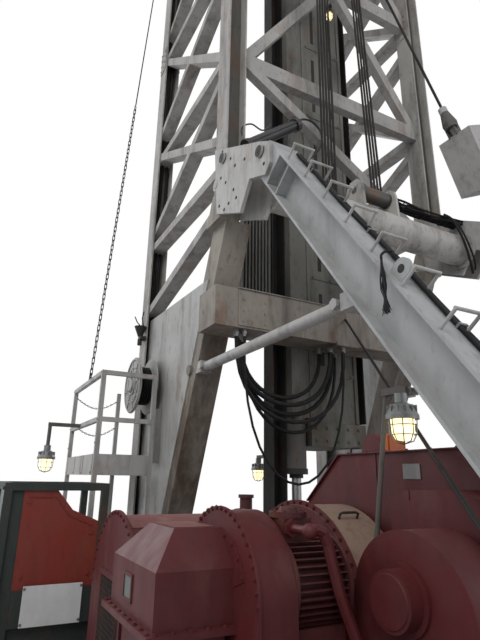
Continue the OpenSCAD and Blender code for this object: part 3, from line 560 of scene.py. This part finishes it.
def hoses():
    # black bundle along the top of the apex tube, tied in three places
    bundle = Piece("tube_hose_bundle", "hose_rubber")
    for i in range(10):
        layer = 0.02 if i > 4 else -0.008
        sag = 0.01 + 0.035 * (i * 7 % 10) / 9
        sway = 0.007 + 0.003 * (i % 3)
        pts = []
        for k in range(9):
            t = k / 8
            x = 0.494 + (i % 5) * 0.034 + sway * math.sin(k * 1.7 + i * 2.1)
            z = ROLLER_Z + layer - sag * math.sin(math.pi * t) + 0.006 * math.sin(k * 1.3 + i * 2)
            pts.append((x, 0.2315 + t * 1.1175, z))
        bundle.tube(smooth(pts, 6), (0.0135, 0.011, 0.0155)[i % 3], 8)
    bundle.done(replaces=("tube_hoses",))
    ties = Piece("tube_hose_ties", "dark_steel")
    for y, lean in ((0.42, 0.3), (0.76, -0.4), (1.1, 0.2)):
        ties.tube([(TUBE_X + 0.088 * math.cos(a), y + 0.012 * math.sin(lean + a),
                    ROLLER_Z - 0.012 + 0.044 * math.sin(a)) for a in around(16)], 0.005, 5, closed=True)
    ties.done()
    droop = Piece("drooping_hoses", "hose_rubber")
    droop.tube(smooth([(0.66, 1.0, ROLLER_Z + 0.01), (0.74, 1.04, 4.95), (0.78, 1.12, 4.72),
                       (0.76, 1.22, 4.5), (0.70, 1.33, 4.36)], 6), 0.014, 8)
    droop.tube(smooth([(0.66, 1.05, ROLLER_Z), (0.76, 1.1, 4.9), (0.80, 1.18, 4.66), (0.78, 1.28, 4.46),
                       (0.72, 1.345, 4.4)], 6), 0.011, 8)
    droop.done()
    # frayed rope end, knotted at the rung: each strand's distance from the middle at six steps down
    rope = Piece("frayed_rope", "hose_rubber")
    spread = (0.009, 0.022, 0.026, 0.011, 0.015, 0.034)
    for i in range(30):
        a = i * 2.4
        root = 0.004 + 0.001 * (i % 4)
        pts = [(2.268 + root * math.cos(a), -1.63 + root * math.sin(a) * 0.6, 3.264)]
        for k, wide in enumerate(spread, 1):
            w = wide * (0.55 + 0.45 * math.sin(i * 1.9))
            turn = a + k * 0.4
            pts.append((2.268 + 0.003 * k + w * math.cos(turn), -1.634 + 0.4 * w * math.sin(turn),
                        3.262 - 0.052 * k - 0.009 * (i % 5)))
        rope.tube(smooth(pts, 3), 0.0028, 5)
    rope.tube(smooth([(2.30, -1.575, 3.30), (2.285, -1.612, 3.295), (2.272, -1.632, 3.275),
                      (2.268, -1.632, 3.25)], 4), 0.0075, 8)
    rope.done()
    # three hoses clipped down the left rear leg
    leg = Piece("leg_hoses", "hose_rubber")
    for j, (off, r) in enumerate(((0.062, 0.013), (0.088, 0.011), (0.104, 0.009))):
        pts = []
        for k in range(24):
            rise = 0.152 + r + 0.004 * (1 + math.sin(k * 0.9 + j))
            at = REAR_HEAD - REAR * (0.25 + k * 0.2) + REAR_UP * rise
            pts.append((at.x, off - LEG_Y + 0.006 * math.sin(k * 1.1 + j * 2), at.z))
        leg.tube(smooth(pts, 4), r, 8)
    leg.done()
    clips = Piece("hose_clips", "lamp_metal")
    for i in range(9):
        mid = REAR_HEAD - REAR * (0.6 + i * 0.5) + REAR_UP * 0.166
        clips.obox(mid + Vector((0, 0.083 - LEG_Y, 0)), (0.036, 0.064, 0.016), REAR_AXES)
    clips.done()


def loop_route(y0, y1, drop, x):
    """Hanging curve of a hose under the lower cross beam."""
    m, h, n = (y0 + y1) / 2, (y1 - y0) / 2, 16
    out = []
    for i in range(n + 1):
        t = math.pi * i / n
        out.append((x, m - h * math.cos(t), HOSE_TOP - drop * max(0.0, math.sin(t)) ** 0.75))
    return out


def hose_loops():
    ends = Piece("hose_end_fittings", "lamp_metal")
    for name, y0, y1, drop, dx, r in LOOPS:
        pts = loop_route(y0, y1, drop, HOSE_X + dx)
        loop = Piece("hose_loop_" + name, "hose_rubber")
        loop.tube(pts, r, 16)
        obj = loop.done(replaces=("hose_loops",))
        for x, y, z in (pts[0], pts[-1]):
            ends.rod((x, y, z), (x, y, z - 0.07), r + 0.007, sides=20)
            ends.rod((x, y, z - 0.02), (x, y, z - 0.045), r + 0.014, sides=6)
    ends.done()


def chain(piece, a, b, pitch, r, width):
    """Links from a to b, each turned a quarter from the last."""
    d = (b - a).normalized()
    u = d.orthogonal().normalized()
    v = d.cross(u)
    straight = pitch * 0.62 - width
    for i in range(int((b - a).length / pitch)):
        mid = a + d * (i + 0.5) * pitch
        w = u if i % 2 else v
        pts = []
        for t in around(10):
            half = straight if math.sin(t) > 0 else -straight
            pts.append(mid + w * width * math.cos(t) + d * (width * math.sin(t) + half))
        piece.tube(pts, r, 5, closed=True)


def line_details():
    # line from the platform's corner: chain below, wire above
    line = Piece("platform_chain", "wire")
    low, high = Vector((-2.3, -2.295, 3.211)), Vector((-2.495, -1.6255, 14.32))
    join = low + (high - low) * 0.40
    chain(line, low, join, 0.075, 0.0065, 0.018)
    line.tube([join, high - (high - low).normalized() * 0.02], 0.009, 8)
    line.rod(low, low + UP * 0.02, 0.02)
    line.tube([low + Vector((0.045 * math.cos(t), 0, 0.05 + 0.045 * math.sin(t))) for t in around(16)],
              0.008, 6, closed=True)
    line.done(replaces=("platform_line",))
    gate = Piece("gate_chain", "wire")
    links = 22
    outline = ((-1, 0.4), (-0.6, 1), (0.6, 1), (1, 0.4), (1, -0.4), (0.6, -1), (-0.6, -1), (-1, -0.4))
    for z in (2.72, 3.1):
        pts = [Vector((-3.175, -2.285 + 0.59 * k / links, z - 0.13 * math.sin(math.pi * k / links)))
               for k in range(links + 1)]
        for k in range(links):
            m, half = (pts[k] + pts[k + 1]) / 2, (pts[k + 1] - pts[k]) * 0.62
            side = Vector((0.009, 0, 0)) if k % 2 else Vector((0, 0, 0.009))
            gate.tube([m + half * u + side * v for u, v in outline], 0.0035, 5, closed=True)
    gate.done()
    socket = Piece("anchor_socket_parts", "dark_grime_and_shade", "pale_paint")
    low = Vector((0.98, 0.89, 6.04))
    d = (Vector((0.071, 0.06, 10.7)) - low).normalized()
    socket.rod(low + d * 0.02, low + d * 0.262, 0.085, 0.034, sides=28)
    socket.rod(low - d * 0.05, low + d * 0.02, 0.075, 0.085, sides=28)
    axes = ((1, 0, 0), d.cross(Vector((1, 0, 0))).normalized() * -1, d)
    for s in SIDES:
        socket.obox(low + Vector((s * 0.052, 0.03, -0.05)), (0.018, 0.11, 0.22), axes)
    socket.rod(low + Vector((-0.075, 0.02, -0.03)), low + Vector((0.075, 0.02, -0.03)), 0.024, sides=20)
    socket.done()
    guide = Piece("line_fairlead", "dark_steel")
    guide.box((-2.36, -1.70, 3.84), (-2.24, -1.616, 3.88))
    guide.rod((-2.3, -1.69, 3.88), (-2.3, -1.69, 4.02), 0.03, 0.085, sides=24)
    guide.rod((-2.3, -1.69, 3.76), (-2.3, -1.69, 3.84), 0.03, sides=16)
    guide.tube([(-2.33, -1.66, 4.02), (-2.38, -1.72, 4.1), (-2.45, -1.74, 4.2)], 0.008, 6)
    guide.tube([(-2.27, -1.66, 4.02), (-2.22, -1.70, 4.12), (-2.16, -1.70, 4.2)], 0.008, 6)
    guide.done()


def apex_cylinder():
    """Black cylinder with its tie rods and hoses, behind the left apex."""
    c = Piece("apex_air_cylinder", "black_paint", "dark_steel")
    a, b = Vector((0.13, -1.36, 5.50)), Vector((0.13, -0.72, 6.02))
    d = (b - a).normalized()
    c.rod(a, b, 0.06, sides=32)
    for q in (a, b):
        c.rod(q - d * 0.03, q + d * 0.03, 0.078, sides=32)
    for t in around(4):
        out = d.orthogonal().normalized() * 0.066
        out.rotate(Matrix.Rotation(math.pi / 4 + t, 3, d))
        c.rod(a + out, b + out, 0.008, sides=8)
    c.rod(a - d * 0.16, a, 0.026, sides=20)
    c.box((0.05, -1.50, 5.34), (0.17, -1.42, 5.44), bevel=0.004)
    c.box((0.056, -0.75, 6.0), (0.12, -0.69, 6.15), bevel=0.004)
    c.tube(smooth([(0.13, -0.70, 6.08), (0.13, -0.6, 6.15), (0.13, -0.48, 6.16), (0.13, -0.37, 6.08),
                   (0.13, -0.34, 5.93), (0.13, -0.45, 5.71), (0.12, -0.62, 5.55), (0.1, -0.8, 5.46)], 6),
           0.013, 8)
    c.tube(smooth([(0.08, -1.36, 5.56), (0.1, -1.42, 5.72), (0.1, -1.3, 5.83), (0.08, -1.14, 5.82),
                   (0.07, -1.02, 5.95)], 6), 0.009, 8)
    c.done()


def works_stub():
    """Capped pipe that stands behind the left hood."""
    stub = Piece("works_stub", "motor_paint")
    stub.rod((0.45, -1.5, 0.5625), (0.45, -1.5, 1.9), 0.05, sides=28)
    stub.rod((0.45, -1.5, 1.9), (0.45, -1.5, 1.925), 0.062, sides=28)
    stub.done()


def platform_details():
    grating = Piece("platform_grating", "deck")
    for k in range(46):
        x = -3.185 + k * 0.037
        grating.box((x, -2.31, PLATFORM_TOP), (x + 0.006, -1.665, 2.13))
    for k in range(9):
        y = -2.3 + k * 0.078
        grating.box((-3.19, y, PLATFORM_TOP), (-1.51, y + 0.005, 2.126))
    grating.done(smooth=False)
    posts = Piece("platform_frame_bolts", "plate_paint")
    for x in (-3.1, -2.6, -2.1, -1.6):
        posts.bolt((x, PLATFORM_Y, 2.085), -ACROSS, 0.012, 0.014)
        posts.box((x - 0.03, PLATFORM_Y - 0.005, 2.11), (x + 0.03, PLATFORM_Y, 2.28))
    for x in (-3.175, -1.525):
        for z in (2.4, 2.657, 3.18):
            posts.bolt((x, PLATFORM_Y, z), -ACROSS, 0.008, 0.01)
    posts.done()


def reel_details():
    middle = (REEL_X, REEL_Z)
    face = Piece("reel_face", "plate_paint", body=REEL)
    for rad, h in ((0.335, 0.014), (0.23, 0.010), (0.12, 0.02)):
        face.arc_band(middle, rad - 0.018, rad, REEL_Y - h, REEL_Y, 0, 359.9, 72)
    for a in around(8):
        d = Vector((math.cos(a + 0.2), 0, math.sin(a + 0.2)))
        spoke = Vector((REEL_X, REEL_Y - 0.005, REEL_Z)) + d * 0.225
        face.obox(spoke, (0.20, 0.01, 0.022), (d, ACROSS, d.cross(ACROSS)))
    for radius in (0.29, 0.085):
        face.bolt_circle(middle, REEL_Y, radius, 8, -1, 0.012, 0.014, start=0.2)
    face.done()
    cable = Piece("reel_cable", "hose_rubber", body=REEL)
    turns, steps = 7, 28
    pts = []
    for k in range(turns * steps + 1):
        a = 2 * math.pi * k / steps
        pts.append((REEL_X + 0.228 * math.cos(a), -1.811 + k / steps * 0.0227, REEL_Z + 0.228 * math.sin(a)))
    cable.tube(pts, 0.0115, 6)
    cable.done()
    bracket = Piece("reel_bracket", "plate_paint")
    bracket.bolt_circle(middle, -1.562, 0.12, 6, -1, 0.012, 0.012)
    bracket.done()
    hanger = Piece("reel_hanger", "plate_paint")
    for k in range(12):
        z = 2.80 - k * 0.05
        hanger.box((-1.665, -1.64, z - 0.012), (-1.655, -1.60, z + 0.012))
    for x in (-1.675, -1.655):
        hanger.box((x, -1.645, 2.2), (x + 0.01, -1.543, 2.83))
    hanger.done(smooth=False)


def lamp_details():
    guards = Piece("lamp_guards", "lamp_metal")
    for x, y, z, s in LAMPS:
        top = Vector((x, y, z))
        for a in around(8):
            d = Vector((math.cos(a), math.sin(a), 0))
            guards.tube([top + (d * r - UP * drop) * s for r, drop in
                         ((0.088, 0.165), (0.083, 0.25), (0.058, 0.30), (0, 0.318))], 0.0035 * s, 5)
        for drop, r in ((0.2, 0.087), (0.26, 0.08)):
            ring = [(x + r * s * math.cos(t), y + r * s * math.sin(t), z - drop * s) for t in around(24)]
            guards.tube(ring, 0.0035 * s, 5, closed=True)
        for a in around(12):
            d = Vector((math.cos(a), math.sin(a), 0))
            size = (0.03 * s, 0.006 * s, 0.06 * s)
            guards.obox(top + (d * 0.082 - UP * 0.108) * s, size, (d, d.cross(UP), UP))
    guards.done()


def rim(piece, middle, r, y, out, width, thick, bolts=22):
    """Angle-iron rim with bolts round a hood's edge; out is -1 or +1, the way the bolts face."""
    xc, zc = middle
    y0, y1 = sorted((y, y - out * thick))
    piece.arc_band(middle, r, r + width, y0, y1, 0, 180, 60)
    for side in SIDES:
        lo, hi = sorted((xc + side * r, xc + side * (r + width)))
        piece.box((lo, y0, 0.562), (hi, y1, zc))
    for k in range(bolts):
        a = math.pi * (k + 0.5) / bolts
        at = r + width * 0.55
        piece.bolt((xc + at * math.cos(a), y, zc + at * math.sin(a)), (0, out, 0), 0.009, 0.011)


def handle(piece, at, along, up, high, lift, r):
    """Bar handle 14 cm long: legs up to high, and the bar between them at lift."""
    half, inner = along * 0.07, along * 0.05
    piece.tube([at - half, at - half + up * high, at - inner + up * lift, at + inner + up * lift,
                at + half + up * high, at + half], r, 8)


def hood_details():
    rims = Piece("hood_rims", "works_red")
    rim(rims, LEFT_HOOD, 0.5, -2.6, -1, 0.035, 0.02)
    rim(rims, LEFT_HOOD, 0.5, -1.65, 1, 0.035, 0.02)
    rim(rims, MIDDLE_HOOD, 0.6, -1.57, -1, 0.03, 0.018, 26)
    rim(rims, CLUTCH, 0.4, -2.33, -1, 0.02, 0.016, 24)
    rims.done()
    hub = Piece("chain_guard_hub", "works_red")
    hub_x, hub_z = CHAIN_GUARD
    hub.rod((hub_x, -1.775, hub_z), (hub_x, -1.781, hub_z), 0.115, 0.112, sides=40)
    hub.arc_band(CHAIN_GUARD, 0.13, 0.155, -1.7, -1.682, 0, 359.9, 48)
    hub.done()
    # red front plate of the middle hood, whose top is pale
    front = Piece("middle_hood_face", "works_red")
    front.arc_band(MIDDLE_HOOD, 0.02, 0.598, -1.5745, -1.5705, 0, 180, 48)
    front.box((0.682, -1.5745, 0.67), (1.878, -1.5705, MIDDLE_HOOD[1]))
    front.done()
    handles = Piece("hood_handles", "dark_steel")
    a = math.radians(62)
    n = Vector((math.cos(a), 0, math.sin(a)))
    on_hood = Vector((MIDDLE_HOOD[0] + 0.6 * n.x, -1.38, MIDDLE_HOOD[1] + 0.6 * n.z))
    handle(handles, on_hood, ACROSS, n, 0.035, 0.042, 0.008)
    handle(handles, Vector((1.30, -1.05, 2.2225)), Vector((1, 0, 0)), UP, 0.04, 0.05, 0.009)
    handles.done()
    seams = Piece("guard_seams", "works_red")
    seams.arc_band(CLUTCH, 0.1, 0.32, -2.334, -2.3305, 20, 160, 30)
    for k in range(9):
        a = math.radians(24 + k * 16.5)
        x, z = CLUTCH[0] + 0.3 * math.cos(a), CLUTCH[1] + 0.3 * math.sin(a)
        seams.bolt((x, -2.334, z), -ACROSS, 0.008, 0.008)
    seams.done()


def brake_cover_details():
    bolts = Piece("brake_cover_bolts", "works_red")
    for k in range(9):
        bolts.bolt((1.135 + k * 0.09, -2.742, 1.40), UP, 0.009, 0.01)
    for k in range(5):
        for x in (1.882, 1.128):
            bolts.bolt((x, -2.72 + k * 0.085, 1.40), UP, 0.009, 0.01)
    bolts.done()
    window = Piece("brake_cover_window", "grey_glass", "lamp_metal")
    window.box((1.40, -2.7235, 1.47), (1.52, -2.7205, 1.57))
    window.done(smooth=False)
    edge = Piece("brake_cover_window_frame", "works_red")
    for x0, x1, z0, z1 in ((1.385, 1.535, 1.455, 1.47), (1.385, 1.535, 1.57, 1.585),
                           (1.385, 1.40, 1.47, 1.57), (1.52, 1.535, 1.47, 1.57)):
        edge.box((x0, -2.729, z0), (x1, -2.7205, z1))
    edge.done()


def motor_details():
    flange = Piece("motor_flange", "motor_paint")
    flange.arc_band(MOTOR, 0.185, 0.236, -2.112, -2.092, 0, 359.9, 64)
    flange.arc_band(MOTOR, 0.185, 0.236, -1.80, -1.782, 0, 359.9, 64)
    flange.bolt_circle(MOTOR, -1.782, 0.212, 12, 1, 0.009, 0.012)
    # round lid on the motor's top
    lid = Vector((MOTOR[0], -2.005, 1.888))
    for a in around(8):
        flange.bolt(lid + Vector((0.082 * math.cos(a), 0.082 * math.sin(a), 0)), UP, 0.007, 0.009)
    flange.rod(lid, lid + UP * 0.022, 0.05, 0.045, sides=28)
    flange.done()


def chain_case_details():
    trim = Piece("chain_case_trim", "works_red")
    trim.box((1.583, -1.156, 0.67), (1.597, -1.150, 2.222))
    trim.box((0.70, -1.163, 1.66), (2.94, -1.150, 1.70))
    for k in range(24):
        trim.bolt((0.76 + k * 0.093, -1.163, 1.68), -ACROSS, 0.008, 0.009)
    # bolted strips along the lid's four upper edges
    outline = [Vector((x, -1.145, z)) for x, z in ((0.82, 1.89), (1.22, 2.22), (2.33, 2.225), (2.45, 2.15),
                                                   (2.95, 1.70))]
    for a, b in zip(outline, outline[1:]):
        d = b - a
        u = d.normalized()
        n = Vector((-u.z, 0, u.x))
        trim.obox((a + b) / 2 + n * 0.004, (d.length, 0.05, 0.008), (u, ACROSS, n))
        count = max(2, int(d.length / 0.17))
        for k in range(count):
            trim.bolt(a + d * (k + 0.5) / count + n * 0.008, n, 0.008, 0.009)
    half_turn = [math.pi * k / 14 for k in range(15)]
    trim.plate([(1.48 + 0.1 * math.cos(t), 2.222 + 0.14 * math.sin(t)) for t in half_turn], -1.08, -0.9)
    trim.box((2.04, -1.345, 1.95), (2.05, -1.34, 2.0))
    trim.done()
    plate = Piece("bare_plate", "lamp_metal")
    plate.box((1.83, -1.156, 2.06), (1.97, -1.1505, 2.15), bevel=0.002)
    plate.done(smooth=False)
    marker = Piece("orange_marker", "orange", "hood_red")
    marker.box((1.585, -1.07, 2.222), (1.64, -0.91, 2.35), bevel=0.01)
    marker.done()


def works_fittings():
    # mesh window of the left hood
    mesh = Piece("hood_mesh", "dark_steel")
    for i in range(15):
        z = 1.0 + i * 0.03
        mesh.rod((0.45, -2.606, z), (0.95, -2.606, z), 0.0035, sides=5)
    for i in range(17):
        x = 0.455 + i * 0.031
        mesh.rod((x, -2.609, 0.99), (x, -2.609, 1.43), 0.0035, sides=5)
    mesh.done()
    edge = Piece("hood_mesh_frame", "works_red")
    for x0, x1, z0, z1 in ((0.42, 0.98, 0.965, 1.0), (0.42, 0.98, 1.42, 1.455),
                           (0.42, 0.455, 1.0, 1.42), (0.945, 0.98, 1.0, 1.42)):
        edge.box((x0, -2.615, z0), (x1, -2.6, z1), bevel=0.002)
    edge.done()
    pipe = Piece("pipe_fittings", "works_red")
    pipe.rod((1.93, -2.05, 1.815), (1.955, -2.05, 1.815), 0.045, sides=6)
    pipe.rod((2.098, -1.728, 0.664), (2.098, -1.728, 0.70), 0.055, sides=24)
    pipe.rod((2.098, -1.728, 0.74), (2.098, -1.728, 0.79), 0.042, sides=6)
    pipe.done()
    # tops of the left hood and the clutch guard, lighter pink: painted highlight
    tops = Piece("hood_tops", "works_top_highlight", "works_red")
    tops.arc_band(LEFT_HOOD, 0.4995, 0.503, -2.56, -1.7, 62, 128, 24)
    tops.plate([(1.36, 1.8105), (1.70, 1.8105), (1.70, 1.8135), (1.36, 1.8135)], -2.58, -2.36)
    tops.done()
    base = Piece("works_base_bolts", "works_red")
    for i in range(10):
        x = 0.4 + i * 0.3
        base.bolt((x, -2.9, 0.61), -ACROSS, 0.015, 0.018)
        base.bolt((x, -0.2, 0.61), ACROSS, 0.015, 0.018)
    base.done()


def cabinet_details():
    bars = Piece("cabinet_bars", "cabinet_green")
    bars.box((-1.14, -3.235, 1.19), (-0.36, -3.185, 1.23))
    for x in (-1.17, -0.33):
        for z in (0.6, 1.95):
            bars.bolt((x, -3.24, z), -ACROSS, 0.01, 0.012)
    bars.box((-0.336, -3.18, 0.5), (-0.328, -3.09, 1.9295))
    bars.done()
    glass = Piece("cabinet_glass", "grey_glass", "cabinet_green")
    glass.box((-1.14, -3.215, 1.25), (-0.36, -3.208, 1.93))
    glass.done(smooth=False)
    board = Piece("sign_bolts", "lamp_metal")
    for y in (-3.0, -2.58):
        for z in (0.98, 1.22):
            board.bolt((-0.292, y, z), (1, 0, 0), 0.007, 0.006)
    board.done()
    beads = Piece("hood_beads", "hood_red")
    edge = ((-3.05, 1.88), (-2.84, 1.88), (-2.73, 1.74), (-2.53, 1.66))
    beads.tube([(-0.318, y, z) for y, z in edge], 0.006, 8)
    for y, z in ((-3.04, 1.84), (-2.54, 1.6), (-3.04, 1.3), (-2.54, 1.3)):
        beads.bolt((-0.32, y, z), (1, 0, 0), 0.011, 0.01)
    beads.done()


def skid_details():
    plates = Piece("skid_stiffeners", "skid_paint")
    for y, x0, x1 in ((-1.5, -2.6, 4.3), (1.5, -2.6, 4.3), (-2.95, -1.2, 4.3)):
        count = int((x1 - x0) / 0.75)
        for i in range(count + 1):
            x = x0 + (x1 - x0) * i / count
            for s in SIDES:
                plates.box_y(x - 0.007, x + 0.007, y + s * 0.0115, y + s * 0.145, 0.0225, 0.4275)
    plates.done(smooth=False)
    treads = Piece("deck_treads", "deck")
    for i in range(34):
        for j in range(11):
            x, y = 0.36 + i * 0.1, 0.3 + j * 0.12
            turn = Matrix.Rotation(math.radians(45 if (i + j) % 2 else -45), 4, "Z")
            treads.box((x - 0.02, y - 0.004, 0.4622), (x + 0.02, y + 0.004, 0.466), turn=turn)
    treads.done(smooth=False)


def column_details():
    plates = Piece("column_plates", "column_paint")
    front = COLUMN_X + 0.0095
    for k in range(9):
        z = 3.2 + k * 1.2
        plates.box((COLUMN_X, -0.2, z), (front, 0.49, z + 0.05))
        for y in (-0.12, 0.14, 0.4):
            plates.bolt((front, y, z + 0.025), (1, 0, 0), 0.012, 0.012)
    for y0, y1 in ((-0.205, -0.16), (0.445, 0.49)):
        plates.box((COLUMN_X, y0, 2.67), (-0.434, y1, 14.4))
    plates.done()
    # dark strips on the column's face for its slots: painted shade inside the slots
    slots = Piece("column_slot_shade", "dark_steel")
    for k in range(8):
        z = 3.32 + k * 1.2
        for y in (-0.03, 0.28):
            slots.box((COLUMN_X, y, z), (COLUMN_X + 0.003, y + 0.05, z + 0.9))
    slots.done(smooth=False)
    foot = Piece("column_foot_bolts", "column_paint")
    for y in (-0.15, 0.0, 0.15, 0.3, 0.45):
        for z in (2.46, 2.6):
            foot.bolt((-0.41, y, z), (1, 0, 0), 0.016, 0.016)
    foot.done()
    gland = Piece("ram_gland", "dark_steel")
    gland.rod((RAM_X, RAM_Y, 2.10), (RAM_X, RAM_Y, 2.16), 0.128, sides=40)
    gland.rod((RAM_X, RAM_Y, 2.06), (RAM_X, RAM_Y, 2.10), 0.075, sides=32)
    gland.box((RAM_X - 0.1, RAM_Y - 0.1, 0.451), (RAM_X + 0.1, RAM_Y + 0.1, 0.48))
    gland.done()


def math_node(tree, operation, first, second):
    n = tree.nodes.new("ShaderNodeMath")
    n.operation = operation
    tree.links.new(first, n.inputs[0])
    tree.links.new(second, n.inputs[1])
    return n.outputs[0]


def mix_shaders(tree, factor, first, second, target):
    n = tree.nodes.new("ShaderNodeMixShader")
    for value, socket in zip((factor, first, second), n.inputs):
        tree.links.new(value, socket)
    tree.links.new(n.outputs[0], target)


def make_floor():
    """Grey floor that fades to white, away from the rig, where the camera looks at it."""
    mesh = bpy.data.meshes.new("floor")
    mesh.from_pydata([(-60, -60, 0), (60, -60, 0), (60, 60, 0), (-60, 60, 0)], [], [(0, 1, 2, 3)])
    floor = bpy.data.objects.new("floor", mesh)
    bpy.context.collection.objects.link(floor)
    m = bpy.data.materials.new("floor")
    m.use_nodes = True
    t = m.node_tree
    grey = t.nodes["Principled BSDF"]
    grey.inputs["Base Color"].default_value = (0.80, 0.80, 0.80, 1)
    grey.inputs["Roughness"].default_value = 0.9
    far = t.nodes.new("ShaderNodeVectorMath")
    far.operation = "LENGTH"
    t.links.new(t.nodes.new("ShaderNodeTexCoord").outputs["Object"], far.inputs[0])
    fade = t.nodes.new("ShaderNodeMapRange")
    fade.interpolation_type = "SMOOTHSTEP"
    fade.inputs["From Min"].default_value = 7
    fade.inputs["From Max"].default_value = 22
    t.links.new(far.outputs["Value"], fade.inputs["Value"])
    glow = t.nodes.new("ShaderNodeEmission")
    glow.inputs["Color"].default_value = (1, 1, 1, 1)
    path = t.nodes.new("ShaderNodeLightPath").outputs
    seen = math_node(t, "MULTIPLY", fade.outputs[0], path["Is Camera Ray"])
    mix_shaders(t, seen, grey.outputs[0], glow.outputs[0], t.nodes["Material Output"].inputs["Surface"])
    mesh.materials.append(m)


def make_sky():
    """White where it is seen, mirrored or looked through, and a soft blue light for the rest."""
    world = bpy.data.worlds.new("world")
    bpy.context.scene.world = world
    world.use_nodes = True
    t = world.node_tree
    t.nodes.clear()
    out = t.nodes.new("ShaderNodeOutputWorld")
    path = t.nodes.new("ShaderNodeLightPath").outputs
    seen = math_node(t, "MAXIMUM", path["Is Camera Ray"], path["Is Glossy Ray"])
    seen = math_node(t, "MAXIMUM", seen, path["Is Transmission Ray"])
    light, white = t.nodes.new("ShaderNodeBackground"), t.nodes.new("ShaderNodeBackground")
    for n, colour, strength in ((light, (0.86, 0.9, 1.0, 1), 0.43), (white, (1, 1, 1, 1), 1.0)):
        n.inputs["Color"].default_value = colour
        n.inputs["Strength"].default_value = strength
    mix_shaders(t, seen, light.outputs[0], white.outputs[0], out.inputs[0])


def make_lamps():
    for name, at, size, power, colour in (
            ("key", (9, -11, 13), 9, 1080, (1, 0.98, 0.95)), ("fill", (-10, -9, 9), 9, 560, (0.93, 0.96, 1)),
            ("back", (-9, 10, 12), 8, 610, (1, 0.95, 0.9)), ("side", (12, 8, 7), 8, 430, (0.95, 0.97, 1))):
        data = bpy.data.lights.new(name, "AREA")
        data.size, data.energy, data.color = size, power, colour
        lamp = bpy.data.objects.new(name, data)
        lamp.location = at
        lamp.rotation_euler = (Vector((0, 0, 5)) - Vector(at)).to_track_quat("-Z", "Y").to_euler()
        bpy.context.collection.objects.link(lamp)


make_camera()
paint_nodes()
for make in (mast_details, apex_details, leg_details, beam_details, hoses, hose_loops, line_details,
             apex_cylinder, works_stub, platform_details, reel_details, lamp_details, hood_details,
             brake_cover_details, motor_details, chain_case_details, works_fittings, cabinet_details,
             skid_details, column_details, make_floor, make_sky, make_lamps):
    make()

bpy.context.scene.view_settings.view_transform = "Standard"
bpy.context.view_layer.update()
